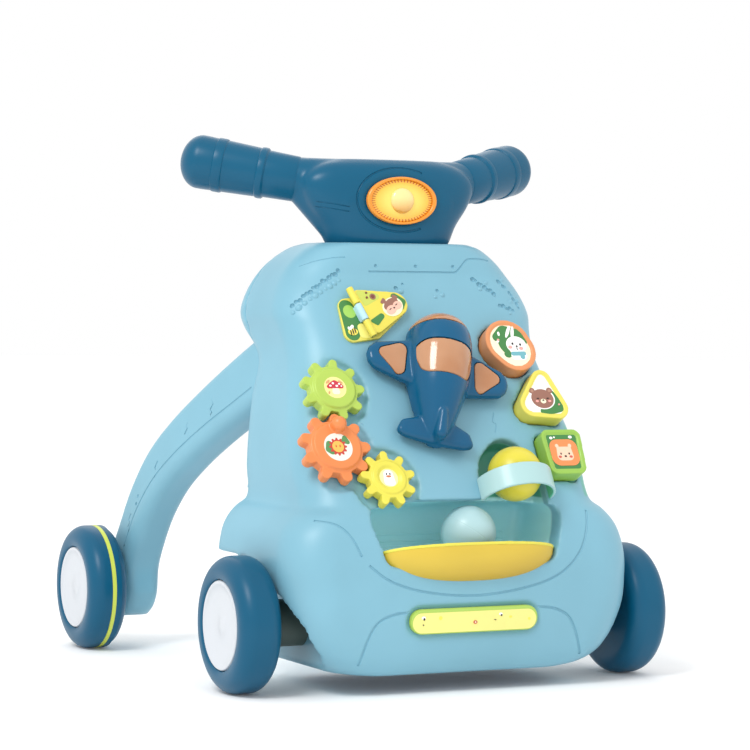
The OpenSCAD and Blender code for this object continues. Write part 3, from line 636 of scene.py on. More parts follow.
for name, colour, tilt, slot in (("mint", (172, 206, 210), 35, "mint_plastic"),
                                 ("yellow", (226, 212, 66), -50, "lemon_plastic")):
    piece(name + "_play_ball", ball(middle("ball_" + name), tilt), name + "_ball",
          plastic(name + "_ball_plastic", srgb(*colour), rough=0.32), ["ball_" + name], crease=80)

# ---------------------------------------------------------------- printed pictures
# Flat pictures of grass, animals and a sun, printed on film and laid on the keys, the
# gears, the flip pages and the plate under the tray. Each ink is a thin layer.
inks = {}


def ink(r, g, b):
    name = "ink_%d_%d_%d" % (r, g, b)
    if name not in inks:
        inks[name] = plastic(name, srgb(r, g, b), rough=0.34, drift=0.025)
    return inks[name]


def add_to(bm, part):
    """Moves a bmesh into another."""
    mesh = bpy.data.meshes.new("part")
    part.to_mesh(mesh)
    part.free()
    bm.from_mesh(mesh)
    bpy.data.meshes.remove(mesh)


ink_step = 0.12


def picture(name, body, matrix, layers):
    """Thin layers of ink. A layer is a colour and its shapes: ovals as (x, y, rx, ry, turn),
    or stretched outlines as lists of circles."""
    bm = bmesh.new()
    mats = []
    for level, (colour, shapes) in enumerate(layers):
        mat = ink(*colour)
        if mat not in mats:
            mats.append(mat)
        for k, shape in enumerate(shapes):
            top = 0.1 + ink_step*(level + 0.6*k/len(shapes))
            if isinstance(shape, tuple):
                x, y, rx, ry, turn = (shape + (0,))[:5]
                part = bmesh.new()
                spot = Matrix.Translation((x, y, top/2)) @ Matrix.Rotation(radians(turn), 4, "Z")
                bmesh.ops.create_cone(part, cap_ends=True, segments=40, radius1=1, radius2=1, depth=top,
                                      matrix=spot @ Matrix.Diagonal((rx, ry, 1, 1)))
            else:
                part = slab(shape, 0, top)
            for face in part.faces:
                face.material_index = mats.index(mat)
            add_to(bm, part)
    return piece(name, moved(bm, matrix), body, mats, crease=30)


leaf_ink, cream, white_ink, black = (64, 128, 66), (250, 240, 205), (252, 252, 248), (40, 34, 36)
brown, rosy, peach, amber_ink = (150, 104, 88), (240, 168, 160), (250, 206, 178), (240, 140, 82)

plate = moulded([slab(plaque, 216.8, 221.6, plaque_frame)], voxel=0.6, soften=3)
piece("picture_plate", plate, "walker", plastic("leaf_plastic", srgb(168, 198, 82), rough=0.38),
      ["name_plaque"])
grass = [(8*i - 58 + i*37 % 5, -5.2 + i*53 % 3, 4.6, 3.6 + (i*29 % 3)*0.7) for i in range(1, 14)]
picture("plate_picture", "walker", plaque_frame @ Matrix.Translation((0, 0, 221.55)), [
    ((172, 204, 92), [[(-47, 0, 9.4), (47, 0, 9.4)]]),
    ((238, 230, 136), [[(-47.5, -1, 8.0), (-44, -4, 5.1), (44, -4, 5.1), (47.5, -1, 8.0)]] + grass),
    ((236, 226, 90), [(-31, 2.6, 1.6, 1.6), (49, -1, 1.2, 1.2), (32, 1.2, 1.4, 1.0)]),
    (white_ink, [(-46, 3.2, 1.8, 1.3), (23, 3.8, 1.6, 1.1)]),
    (black, [(-45.6, 2.2, 0.8, 1.1), (-46.3, -2.4, 0.6, 0.5), (23.6, 2.9, 0.8, 0.8), (18, -0.6, 1.0, 0.35)]),
    ((196, 84, 62), [(0, -1.8, 1.7, 1.4)]),
    (cream, [(0, -1.8, 0.7, 0.6)])])

# ---------------------------------------------------------------- gears
# Three chunky gears turn on posts in shallow wells and drive each other. They are solid
# moulded plastic with round teeth; the orange one has a knob for turning it.
tooth_count = 9
half_tooth = 180/tooth_count


def way_to(body):
    """The direction of a gear from the orange one, in degrees on the panel."""
    v = gear_places[body] - gear_places["orange_gear"]
    return degrees(atan2(v.y*sin(lean) + v.z*cos(lean), v.x))


green_way, yellow_way = way_to("green_gear"), way_to("yellow_gear")
# outer radius, root radius, tooth width, turn, height of the raised middle
gear_sizes = {"orange_gear": (30.3, 23, 9, green_way, 9.6),
              "green_gear": (27.3, 20.5, 7.4, green_way + 180 + half_tooth, 8.8),
              "yellow_gear": (24.1, 17.2, 6.4, 2*yellow_way - green_way + 180 + half_tooth, 8.2)}


def gear(body):
    outer, root, width, start, top = gear_sizes[body]
    spot = facing_panel(gear_places[body])
    parts = [disc(root, -3.3, 6.6, spot)]
    for k in range(tooth_count):
        turn = spot @ Matrix.Rotation(radians(start + 360*k/tooth_count), 4, "Z")
        parts.append(slab([(root - 3, 0, width/2 + 0.6), (outer - width/2, 0, width/2)], -3.3, 6.2, turn))
    parts.append(disc(root - 1.0, 5, top, spot, top_r=root - 3.2))
    bore = disc(3.08, -4, 4.5, spot)
    if body == "orange_gear":
        knob = spot @ Matrix.Rotation(radians(start), 4, "Z") @ Matrix.Translation((17.5, 0, 0))
        parts.append(turned([(0, 5), (6.4, 5)] + arc(0, 13.2, 6.4, 0, 90, 8), knob, 48))
    if body == "yellow_gear":
        dish = turned([(0, 6.2), (8.5, 6.2), (11.8, 9), (11.8, 12), (0, 12)], spot, 64)
        return moulded(parts, [bore, dish], voxel=0.55, soften=5)
    return moulded(parts, [bore], voxel=0.62, soften=6)


piece("sun_gear", gear("orange_gear"), "orange_gear", plastic("orange_plastic", srgb(228, 134, 74)),
      ["gear_orange"])
piece("mushroom_gear", gear("green_gear"), "green_gear", plastic("lime_plastic", srgb(172, 200, 84)),
      ["gear_green"])
piece("bird_gear", gear("yellow_gear"), "yellow_gear", lemon_plastic, ["gear_yellow"])


def on_gear(body, height):
    return facing_panel(gear_places[body]) @ Matrix.Translation((0, 0, height))


picture("mushroom_picture", "green_gear", on_gear("green_gear", 8.75), [
    ((244, 226, 150), [(0, 0, 9.6, 9.6)]),
    ((212, 160, 108), [(-5.6, 5.2, 2.4, 1.0, 40), (5.4, 4.8, 2.2, 0.9, -35), (-6.2, -4.6, 1.4, 0.7, 70)]),
    ((250, 232, 208), [[(-1.2, -4, 2.2), (1.2, -4, 2.2), (0, -1, 2.6)]]),
    ((196, 48, 66), [[(-5.6, 0.8, 1.6), (5.6, 0.8, 1.6), (0, 3.4, 2.9), (-3, 2.6, 2.0), (3, 2.6, 2.0)]]),
    (white_ink, [(-4.2, 1.4, 1.0, 0.8), (-1.6, 3.6, 1.0, 0.9), (1.4, 1.2, 1.1, 0.9), (3.8, 3.0, 0.9, 0.8),
                 (5.4, 1.0, 0.7, 0.6)])])
rays = [(6.24*cos(pi*k/6) - 0.312, 6.24*sin(pi*k/6) - 1.312, 1.7, 1.0, 30*k) for k in range(12)]
picture("sun_picture", "orange_gear", on_gear("orange_gear", 9.55), [
    ((232, 232, 220), [(0, -1.5, 12.2, 12.2)]),
    ((88, 142, 84), [[(-9.2, -3.6, 2.2), (-7.4, 1.4, 2.6), (-6, -5, 3)],
                     [(7, 6.5, 1.9), (9, 2.6, 1.8), (6.2, 4, 2.4)]]),
    ((198, 62, 50), rays + [(-0.3, -1.3, 6.2, 6.2)]),
    ((250, 184, 84), [(-0.3, -1.3, 5.0, 5.0)]),
    ((206, 94, 50), [(-1.9, -0.9, 0.6, 1.1), (1.5, -0.9, 0.6, 1.1)])])
picture("bird_picture", "yellow_gear", on_gear("yellow_gear", 6.15), [
    ((244, 240, 170), [(0, 0, 8.2, 8.2)]),
    (white_ink, [[(-0.6, 3.2, 3.6), (0.6, 3.2, 3.6), (-1.4, -3.2, 3.4), (2.0, -4.0, 3.0)]]),
    (black, [(-1.5, 3.4, 0.6, 0.9), (1.5, 3.4, 0.6, 0.9)]),
    ((206, 120, 76), [(0, 1.3, 2.2, 0.9)])])

# ---------------------------------------------------------------- keys
# Three soft-edged keys that press into the panel, one round, one three-cornered and one
# square, each with a sunken animal picture inside a raised lip.
key_looks = {"round": ("egg_key", (222, 146, 94), "orange_plastic"),
             "triangle": ("corner_key", (226, 214, 92), "lemon_plastic"),
             "square": ("square_key", (146, 188, 78), "leaf_plastic")}
key_top = 11.6
for shape, (name, colour, slot) in key_looks.items():
    spot, outline = on_panel(*key_places[shape]), key_outlines[shape]
    key = moulded([slab(outline, -4, key_top, spot)],
                  [slab(grown(outline, -3.2), key_top - 1.1, key_top + 9, spot)], voxel=0.7, soften=6)
    piece(name, key, shape + "_button", plastic(name + "_plastic", srgb(*colour)), ["button_" + shape])


def on_key(shape):
    return on_panel(*key_places[shape], key_top - 1.15)


picture("rabbit_picture", "round_button", on_key("round"), [
    ((250, 238, 206), [grown(round_key, -3.4)]),
    (leaf_ink, [[(-3, 12, 7), (8, 11, 5), (-11, 8, 4), (13, 4, 3.4)], (-6, 0, 4.2, 8, 20),
                (-4, -8, 3.6, 3.2)]),
    (white_ink, [(0.5, 13.2, 1.5, 6.4, -28), (4.6, 12.4, 1.5, 6.2, -14), (5.6, 0.6, 9.4, 8.2),
                 [(2.5, -9.5, 4), (9.5, -9.5, 4)], (-8.6, 11.2, 1.1, 2.0), (-11, 4, 1.2, 1.0)]),
    ((112, 176, 186), [[(0.6, -7.6, 1.9), (11, -7.4, 1.9)], (9, -10.4, 2.2, 2.4)]),
    (rosy, [(-0.6, -1.4, 1.9, 1.5), (9.4, -2.6, 1.9, 1.5), (-10.4, 5.4, 1.1, 1.0)]),
    (black, [(2.2, 1.8, 0.85, 1.1), (9.2, 1.0, 0.85, 1.1), (5.6, -0.6, 0.9, 0.7), (5.4, -3, 0.3, 1.3)])])
picture("bear_picture", "triangle_button", on_key("triangle"), [
    ((238, 240, 230), [grown(triangle_key, -3.6)]),
    (leaf_ink, [[(9, 1, 3), (12.5, -11, 5.5), (-2, -15.4, 3), (6, -14, 4)]]),
    (white_ink, [(-0.5, -3.6, 11.6, 10.0)]),
    (brown, [(-0.5, -3.8, 10.4, 8.9), (-8.6, 3.6, 2.7, 2.7), (7.6, 3.6, 2.7, 2.7)]),
    ((176, 132, 112), [(-8.6, 3.5, 1.4, 1.4), (7.6, 3.5, 1.4, 1.4)]),
    (cream, [(-0.3, -6.2, 2.5, 2.1)]),
    (rosy, [(-6.2, -6.2, 1.4, 1.0), (5.6, -6.2, 1.4, 1.0), (13.6, -9.4, 0.8, 0.8)]),
    (black, [(-4.9, -3.6, 1.2, 0.35), (4.4, -3.6, 1.2, 0.35), (-0.3, -5.4, 0.9, 0.65)])])
picture("cub_picture", "square_button", on_key("square"), [
    (leaf_ink, [grown(square_key, -3.5)]),
    (white_ink, [(-9.5, 12.4, 1.5, 1.2), (-6.4, 13.0, 0.8, 0.8), (8.6, 13.0, 1.7, 1.3)]),
    (amber_ink, [[(-5.5, 3.5, 7.4), (5.5, 3.5, 7.4), (5.5, -5.5, 7.4), (-5.5, -5.5, 7.4)]]),
    (peach, [[(-5.2, 2.6, 1.6), (5.2, 2.6, 1.6), (-3.4, -4.2, 4.2), (3.4, -4.2, 4.2)],
             (-6.0, 5.0, 1.6, 1.8), (6.0, 5.0, 1.6, 1.8)]),
    ((204, 96, 80), [(-5.2, -5.0, 1.5, 1.1), (5.0, -5.0, 1.5, 1.1)]),
    (black, [(-3.8, -2.2, 0.7, 0.9), (3.8, -2.2, 0.7, 0.9), (0, -4.6, 1.1, 0.8)])])

# ---------------------------------------------------------------- flip book
# A little two-leaf book: one leaf is fixed to the panel and the other swings over on a
# steel pin held by a pale knuckle.
hinge_top, hinge_low = Vector((-63, 195)), Vector((-49.5, 149.5))
hinge_run = hinge_low - hinge_top
hinge_len = hinge_run.length
hinge_turn = degrees(atan2(hinge_run.x, -hinge_run.y))
page_outline = [(6, -8, 4.5), (34, -25, 11), (7, 7 - hinge_len, 5)]
base_outline = [(-14, 10 - hinge_len, 8), (-7, -14, 8), (33, -25, 11.5), (6, 6 - hinge_len, 7)]
book = on_panel(*hinge_top, 0, hinge_turn)
leaf_base = moulded([slab(base_outline, -0.6, 2.4, book)], voxel=0.5, soften=3)
piece("book_base", leaf_base, "walker", plastic("book_plastic", srgb(226, 216, 96)), ["flip_base"])


def knuckle(low, high):
    """A length of the hinge's barrel, between two shares of the hinge's length."""
    return disc(3, hinge_len*low, hinge_len*high, book @ Matrix.Translation((0, 0, 7)) @ stand_up)


page_gap = [(x, -hinge_len*share, 0.1) for share in (0.34, 0.66) for x in (-3, 4)]
page = moulded([slab(page_outline, 4.1, 6.5, book), knuckle(0.01, 0.325), knuckle(0.675, 0.99)],
               voxel=0.5, soften=3, crisp=[slab(page_gap, 0, 12, book)])
piece("book_page", page, "page", plastic("page_plastic", srgb(224, 210, 82)), ["flip_page"])
foot = [(x, y, 0.4) for y in (-hinge_len*0.35 - 0.4, -hinge_len*0.65 + 0.4) for x in (-2.6, 2.6)]
holder = moulded([knuckle(0.345, 0.655), slab(foot, 1, 7, book)], voxel=0.5, soften=3)
piece("book_knuckle", holder, "walker", plastic("knuckle_plastic", srgb(176, 214, 232)))
picture("fox_picture", "page", book @ Matrix.Translation((0, 0, 6.5)), [
    ((196, 206, 92), [[(7, -7, 2.6), (20, -14, 3), (8, -17, 2.6)]]),
    (leaf_ink, [[(36, -19, 3.2), (41, -25, 3), (37, -29, 3)],
                [(6, -34, 1.6), (16, -32, 2.4), (9, -37, 1.8)]]),
    (cream, [(30, -27, 10.2, 8.2, 20)]),
    (brown, [(29.6, -24.5, 8.0, 4.6, 20), [(22.5, -20.5, 1.2), (25, -18.6, 1.2), (25, -21, 1.6)],
             [(35.2, -18.0, 1.2), (37, -20, 1.4), (34.6, -20.6, 1.6)], (17, -13.4, 2.7, 2.7)]),
    ((244, 190, 170), [(27.4, -29.4, 5.2, 3.8, 20), (34.6, -27.0, 4.4, 3.6, 20)]),
    ((120, 66, 50), [(17, -13.4, 1.5, 1.5), (13, -8.6, 0.9, 0.9), (11.4, -12.8, 1.0, 1.0)]),
    (black, [(26.6, -28.6, 1.4, 0.35, 20), (33.8, -26.2, 1.4, 0.35, 20), (30.6, -28.4, 0.8, 0.7)])])
picture("bee_picture", "walker", book @ Matrix.Translation((0, 0, 2.4)), [
    (leaf_ink, [[(-14.4, 9.6 - hinge_len, 6.4), (-8, -14, 6.6), (-4, -30, 3)]]),
    ((158, 204, 92), [(-7.4, -18.6, 5.6, 6.0)]),
    ((238, 232, 130), [[(-4, 12 - hinge_len, 4), (-1.6, 5 - hinge_len, 3.5), (-6, 6 - hinge_len, 3)]]),
    ((244, 226, 96), [(-13.6, 11.0 - hinge_len, 4.4, 3.2, -12)]),
    (white_ink, [(-12.6, 15.2 - hinge_len, 2.2, 1.4, 40), (-15.4, 14.6 - hinge_len, 1.8, 1.2, 100)]),
    (black, [(-15.8, 10.6 - hinge_len, 0.5, 2.7, -12), (-13.6, 11 - hinge_len, 0.5, 3.0, -12),
             (-11.4, 11.4 - hinge_len, 0.5, 2.7, -12)])])

# ---------------------------------------------------------------- aeroplane key
# A fat little aeroplane that presses into the panel and lights up: a glossy dark-blue
# shell with see-through amber windows in its nose, cabin and wings.
deep = srgb(2, 86, 118)
amber = srgb(186, 124, 78)
plane_spot = on_panel(*plane_place, 3.8, -15)
# along the fuselage from the tail: place, half width, height
fuselage = [[-57.5, 3.5, 7], [-54.5, 8.5, 12], [-46, 13, 17], [-30, 18.5, 23], [-8, 25, 31], [14, 28.6, 35],
            [32, 28.4, 36], [45, 26.5, 34], [54, 22, 28.5], [60, 14.5, 20], [62.5, 8, 13], [63.8, 2.5, 7]]


def fuselage_form(grow=0):
    """The aeroplane's round body, with a flat belly."""
    def at(y, w, h):
        def place(a):
            c, s = cos(a), sin(a)
            flat = max(-0.08, s)
            return Vector(((w + grow)*copysign(abs(c)**0.9, c), y, (h + grow)*flat))
        return place
    return moved(loft([at(*row) for row in eased(fuselage, 4)]), plane_spot)


def tapered(balls):
    """A wing or fin of the aeroplane."""
    return moved(hull(balls), plane_spot)


def wing(s):
    tip = [(s*(49.5 + 8.5*cos(radians(t))), 13.5 + 9*sin(radians(t)), 5.0, 5.0) for t in range(-90, 91, 30)]
    return tapered(tip + [(s*8, 32, 6.8, 6.6), (s*8, -5, 6.8, 6.6)])


def plane_block(low, high):
    return moved(block(low, high), plane_spot)


tail_balls = [(29, -49.5, 4.6, 4.4), (26.5, -43.5, 4.6, 4.4), (25, -51, 4.6, 4.4), (4, -36, 5.4, 5.4),
              (4, -52, 5.4, 5.4)]
tail = [tapered([(s*x, y, z, r) for x, y, z, r in tail_balls]) for s in (-1, 1)]
fin = tapered([(0, -33, 21, 3.6), (0, -51, 17, 5.4), (0, -50, 6, 5.6)])
cabin = [(-17, 18, 9), (17, 18, 9), (13, 6, 9), (-13, 6, 9)]
wing_pane = {s: [(s*48.5, 15.5, 5.4), (s*36, 21, 6), (s*36, 3, 5)] for s in (-1, 1)}
belly_cut, nose_cut = plane_block((-90, -90, -30), (90, 90, 0)), plane_block((-60, 46.2, -30), (60, 120, 90))
panes_cut = [slab(grown(cabin, 0.5), 18, 60, plane_spot)]
panes_cut += [slab(grown(wing_pane[s], 0.5), 7.5, 30, plane_spot) for s in (-1, 1)]
hulk = moulded([fuselage_form(), wing(1), wing(-1), *tail, fin], [belly_cut, nose_cut],
               voxel=0.9, soften=8, crisp=panes_cut)
stem = disc(10, -8.5, 2, plane_spot)
glossy_blue = plastic("glossy_blue", srgb(2, 84, 122), rough=0.24, coat=0.2, Specular_IOR_Level=0.25)
piece("plane_shell", hulk, "plane", glossy_blue, ["plane_body"])
piece("plane_stem", stem, "plane", glossy_blue)


def amber_paint(wire, x, y, z, base):
    """Paler clouds in the amber."""
    cloud = wire.node("ShaderNodeTexNoise", {}, {"Vector": wire, "Scale": 30.0, "Detail": 2.0})
    return (cloud.above(0.5, 0.5)*0.5).mix(base, srgb(214, 166, 128))


amber_clear = plastic("amber_clear", amber, rough=0.16, coat=0.6, paint=amber_paint, Transmission_Weight=0.15)
window = moulded([fuselage_form(-0.5)], keep=slab(grown(cabin, -0.2), 16, 60, plane_spot),
                 voxel=0.7, soften=5)
piece("cabin_window", window, "plane", amber_clear, ["plane_canopy"])
nose = moulded([fuselage_form(-0.2)], keep=plane_block((-60, 46.8, 0.5), (60, 120, 90)), voxel=0.6, soften=4)
piece("nose_window", nose, "plane", amber_clear, ["plane_nose_lens"])
panes = bmesh.new()
for s in (-1, 1):
    pane_space = slab(grown(wing_pane[s], -0.2), 6, 30, plane_spot)
    add_to(panes, moulded([wing(s)], keep=pane_space, voxel=0.5, soften=4))
piece("wing_windows", panes, "plane", amber_clear, ["wing_lenses"])

# ---------------------------------------------------------------- push bar
# The dark-blue push bar is blow moulded: a wide neck stands on the body, spreads into two
# arms swept to the back, and carries fat grips with two raised rings. A headlight sits in
# front behind an orange rim.
bar_blue = plastic("bar_blue", deep, rough=0.32, Specular_IOR_Level=0.28)
bar_y = -53
GRIP = (Matrix.Translation((146.7, 5.7, 430)) @ Matrix.Rotation(radians(30), 4, "Z")
        @ Matrix.Rotation(radians(80), 4, "Y"))
# height, half width and half depth of the neck
neck = [[355, 50, 20], [361.6, 55.5, 25.5], [364, 57, 27], [378, 63, 28], [394, 74, 28.5], [410, 80, 27],
        [420, 76, 25], [428, 64, 20], [433, 46, 11]]


def oval_ring(z, w, d):
    """A squarish oval round the neck."""
    def place(a):
        c, s = cos(a), sin(a)
        return Vector((w*copysign(abs(c)**0.85, c), bar_y + d*copysign(abs(s)**0.85, s), z))
    return place


def arm(side):
    """An arm, from the neck out to the grip's root."""
    root = GRIP @ Vector((0, 0, -83))
    return hull([(side*24, bar_y, 404, 24), (side*30, bar_y, 411, 22),
                 (side*root.x, root.y, root.z, 18.6)], 40)


def gusset(side):
    """The web that fills the corner between the neck and an arm."""
    root = GRIP @ Vector((0, 0, -78))
    return hull([(side*44, bar_y, 368, 12), (side*40, bar_y, 397, 26),
                 (side*(root.x - 6), root.y - 4, root.z - 3, 16)])


neck_form = loft([oval_ring(*row) for row in eased(neck, 4)])
neck_skin = BVHTree.FromBMesh(neck_form)


def neck_line(spots, r):
    """A groove of a radius in the front of the neck."""
    return tube(strewn([Vector((x, -90, z)) for x, z in spots], neck_skin, back_way), r)


# the housing's edge round the headlight, and two fine lines beside it
housing = [neck_line([(40*cos(radians(t)), 398.5 + 27*sin(radians(t))) for t in range(58, 300, 6)], 1.0)]
housing += [neck_line([(-71 + 5*i, z - 0.8*i) for i in range(6)], 0.5) for z in (396, 392)]
lamp_z = 397.7
oval = Matrix.Translation((0, -80, lamp_z)) @ stand_up @ Matrix.Diagonal((1, 40/64, 1, 1))
bar = moulded([neck_form, arm(1), arm(-1), gusset(1), gusset(-1)],
              [disc(32.4, -2, 30, oval, segments=96)], voxel=1.4, soften=26, crisp=housing)
piece("bar_neck", bar, "walker", bar_blue, ["handlebar_front", "handlebar_rear"])

grip_line = [(0, -84), (18.4, -84), (19.2, -82.5), (20.0, -57)]
grip_line += [(20.6, -56.4), (21.6, -55.4), (21.9, -53), (21.6, -50.6), (20.7, -49.6), (20.9, -48)]
grip_line += [(22.0, -21), (22.7, -20.4), (23.0, -19.2), (23.0, -14), (22.8, -12.8), (22.2, -12.2)]
grip_line += [(22.3, -11), (22.6, -6), (22.7, 0)]
grip_line += [(22.7*cos(radians(t)), 17.1*sin(radians(t))) for t in range(6, 91, 6)]


def mirrored(bm):
    """The same shape for the left side of the walker."""
    moved(bm, Matrix.Diagonal((-1, 1, 1, 1)))
    bmesh.ops.recalc_face_normals(bm, faces=bm.faces)
    return bm


for name, grip in (("grip_right", turned(grip_line, GRIP)), ("grip_left", mirrored(turned(grip_line, GRIP)))):
    piece(name + "_cover", grip, "walker", bar_blue, [name], crease=28)

rim_line = [(30.9, 0), (32.2, 0), (32.2, 3.2), (31.4, 4.0), (29.2, 4.0), (28.6, 3.4), (28.6, 0), (30.9, 0)]
amber_rim = plastic("amber_rim", srgb(238, 150, 50), rough=0.3)
piece("headlight_rim", turned(rim_line, oval, 128), "walker", amber_rim, ["headlight_bezel"])


def glow_paint(wire, x, y, z, base):
    """A paler painted glow round the bulb in the middle of the reflector, and fine ribs round its edge."""
    across, up = x*(1/0.032), (z - lamp_z/1000)*(1/0.020)
    reach = across*across + up*up
    rib = wire.math("SINE", wire.math("ARCTAN2", up, across)*56)
    ribs = reach.above(0.60, 0.02)*rib.above(0.25, 0.3)
    # painted glow: the middle of the lens is paler, as if lit
    glow = (1 - reach.above(0.35, 0.7)).mix(srgb(246, 186, 60), srgb(255, 226, 110))
    return ribs.mix(glow, srgb(196, 110, 36))


lamp_glow = plastic("lamp_glow", srgb(250, 206, 84), rough=0.22, coat=0.5, drift=0.01, paint=glow_paint)
lens_line = [(0, 0), (28.5, 0), (28.5, 1.6)]
lens_line += [(28.5*cos(radians(t)), 1.6 + 1.6*sin(radians(t))) for t in range(10, 91, 10)]
piece("headlight_cover", turned(lens_line, oval, 128), "walker", lamp_glow, ["headlight_lens"])
bulb_line = [(0, -1)] + [(10.8*cos(radians(t)), 4.6*sin(radians(t))) for t in range(0, 91, 9)]
bulb = turned(bulb_line, Matrix.Translation((0, -83, lamp_z)) @ stand_up, 64)


def bulb_lit_paint(wire, x, y, z, base):
    """Painted light: the bulb is paler above, where the light falls, and deeper below."""
    return (z - lamp_z/1000).above(-0.004, 0.016).mix(srgb(226, 160, 60), srgb(250, 222, 150))


bulb_glow = plastic("bulb_glow", srgb(240, 196, 100), rough=0.2, coat=0.6, paint=bulb_lit_paint)
piece("headlight_bulb", bulb, "walker", bulb_glow)

# ---------------------------------------------------------------- rear legs
# Two hollow sky-blue legs curve from the body down to the rear wheels. Each is a flat
# outer face with a rounded roll along its front edge, and a fine line between them.
leg_path = [[-45, 262, 54], [0, 238, 53], [45, 213, 50], [85, 188, 48], [118, 162, 46], [143, 132, 43],
            [160, 102, 42], [171, 78, 46], [176, 55, 54]]
leg_t, leg_top_x, leg_foot_x = 36, 90, 143
rear_axle_y = 176
leg_rows = eased([[i, *row] for i, row in enumerate(leg_path)], 6)


def leg_x(y):
    return leg_top_x + (leg_foot_x - leg_top_x)*(y - leg_path[0][0])/(leg_path[-1][0] - leg_path[0][0])


def across_leg(rows, i):
    """The direction across the leg's depth at a row, up and to the back."""
    a, b = rows[max(0, i - 1)], rows[min(len(rows) - 1, i + 1)]
    way = Vector((0, b[1] - a[1], b[2] - a[2])).normalized()
    return Vector((0, -way.z, way.y))


def leg_form():
    """A leg, its foot rounded off below the wheel's axle."""
    rings = []
    foot = [[0, rear_axle_y + k*0.2, wheel_r - k, 54*sqrt(1 - (k/27)**2)]
            for k in (6, 12, 17, 21, 24, 26, 26.8)]
    rows = leg_rows + foot
    for i, (_, y, z, d) in enumerate(rows):
        def place(t, y=y, z=z, d=d, side=across_leg(rows, i), r=min(13, d/2 - 0.5)):
            c, s = cos(t), sin(t)
            roll = r if s < 0 else min(8, r)
            return (Vector((leg_x(y) + copysign(leg_t/2 - roll, c) + roll*c, y, z))
                    + side*(copysign(d/2 - roll, s) + roll*s))
        rings.append(place)
    return loft(rings)


def leg_groove():
    """The fine line on the outer face where the flat side meets the roll."""
    line = [Vector((leg_x(y) + leg_t/2, y, z)) - across_leg(leg_rows, i)*(d/2 - 15)
            for i, (_, y, z, d) in enumerate(leg_rows)]
    return tube(line[3:-4], 0.9)


def leg_mark(y, z, size):
    """A little zigzag engraved in the outer face."""
    return tube([Vector((leg_x(y + size*a) + leg_t/2 - 0.1, y + size*a, z + size*b))
                 for a, b in ((-3, 12), (1, 5), (-2, 2), (2, -3), (-1, -5), (3, -11))], 0.8)


marks = [leg_mark(30, 222, 1), leg_mark(66, 206, 0.9), leg_mark(112, 160, 0.9), leg_mark(152, 112, 0.8)]
marks += [lump(Vector((leg_x(y) + leg_t/2, y, z)), 1.6)
          for y, z in ((139, 138), (141, 131), (158, 92), (160, 84))]
rear_axle_line = Matrix.Translation((0, rear_axle_y, wheel_r)) @ Matrix.Rotation(pi/2, 4, "Y")
leg = moulded([leg_form()], voxel=1.5, soften=8,
              crisp=marks + [leg_groove(), disc(4.2, 100, 200, rear_axle_line)])
for side, form in (("right", leg), ("left", mirrored(leg.copy()))):
    piece(side + "_leg", form, "walker", sky_plastic, ["leg_" + side + "_outer", "leg_" + side + "_inner"])

# ---------------------------------------------------------------- wheels
# Four hollow dark-blue wheels with wide round treads, white dished discs pressed into
# their outer faces, and on the rear pair a lime band that joins the two halves.
wheel_blue = plastic("wheel_blue", srgb(2, 84, 116), Specular_IOR_Level=0.28)
disc_white = plastic("disc_white", srgb(204, 208, 213), rough=0.42, drift=0.015)
lime_band = plastic("lime_band", srgb(206, 216, 84), rough=0.38)
bore, tread = 4.06, 35
front_track, rear_track = 385, 400
band_out, band_in = -18.5, -26.5
joint_r, tread_r = 54.4, 54.9


def wheel_line(outer, inner):
    """A wheel's section between two places across it: bore, side, tread, side, hub seat."""
    line = [(bore, inner)]
    if inner == -tread:
        line += [(40, -tread)] + arc(42, -tread + 13, 13, -90, 0, 12)
    else:
        line += [(joint_r, inner), (tread_r, inner + 0.5)]
    if outer == 0:
        line += arc(42, -13, 13, 0, 90, 12) + [(38.5, 0), (37.2, -0.6), (36.4, -2), (36, -7), (bore, -7)]
    else:
        line += [(tread_r, outer - 0.5), (joint_r, outer), (bore, outer)]
    return line + [(bore, inner)]


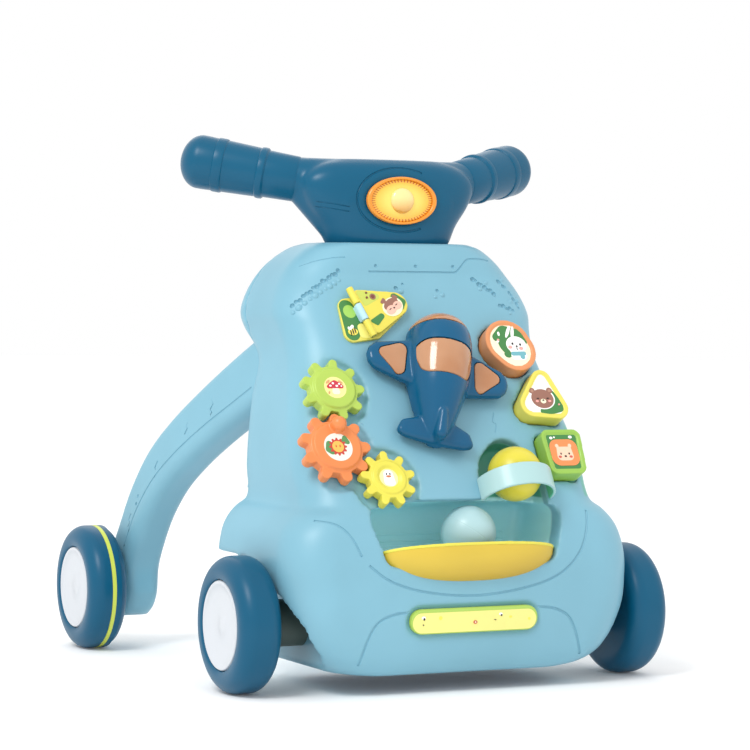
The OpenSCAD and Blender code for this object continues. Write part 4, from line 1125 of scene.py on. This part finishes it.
hub_line = [(0, -6.9), (35.9, -6.9), (35.9, -1.8), (35.2, -0.8), (34, -0.5), (32.6, -0.9), (31.6, -1.9),
            (27, -2.8), (18, -3.5), (8, -3.8), (7.2, -3.4), (3, -3.2), (0, -3.2)]


def wheel_frame(sx, track, y):
    """The frame of a wheel, its axis pointing out of the walker."""
    return Matrix.Translation((sx*track/2, y, wheel_r)) @ Matrix.Rotation(sx*pi/2, 4, "Y")


# the tyre of a front wheel, and the two halves of a rear one: name, places across, node's ending
tyres = {"front": [("front_tyre_", 0, -tread, "")],
         "rear": [("rear_tyre_outer_", 0, band_out, "_outer"), ("rear_tyre_inner_", band_in, -tread, "_inner")]}
for sx, side in ((-1, "left"), (1, "right")):
    for end, track, y in (("front", front_track, axle_y), ("rear", rear_track, rear_axle_y)):
        spot, body = wheel_frame(sx, track, y), "wheel_" + end + "_" + side[0]
        for name, outer, inner, ending in tyres[end]:
            piece(name + side, turned(wheel_line(outer, inner), spot, 128), body, wheel_blue,
                  ["wheel_" + end + "_" + side + ending])
        if end == "rear":
            piece("lime_band_" + side, turned(wheel_line(band_out, band_in), spot, 128), body, lime_band,
                  ["band_rear_" + side])
        piece(end + "_disc_" + side, turned(hub_line, spot, 128), body, disc_white,
              ["hub_" + end + "_" + side])

# ---------------------------------------------------------------- parts from the workshop drawing
# What is left keeps its drawn shape: steel axles, dark axle mounts, the plate underneath,
# and the works inside the body.
dark_plastic = plastic("dark_plastic", srgb(70, 84, 78), rough=0.5)
steel = plastic("axle_steel", srgb(186, 189, 193), rough=0.3, drift=0.03, Metallic=1.0)
white_plastic = plastic("white_plastic", srgb(228, 231, 234), rough=0.4)
for names, mat in (("front_axle rear_axles flip_pin screws", steel),
                   ("axle_mounts battery_box speaker", dark_plastic),
                   ("base_plate", bar_blue), ("battery_door", sky_plastic),
                   ("gear_posts key_pad headlight_led switch_knob", white_plastic),
                   ("batteries", plastic("cell_wrap", srgb(176, 141, 87), rough=0.3)),
                   ("circuit_board", plastic("board_green", srgb(47, 125, 79), rough=0.5))):
    for name in names.split():
        frame["nodes"][name].data.materials.clear()
        frame["nodes"][name].data.materials.append(mat)
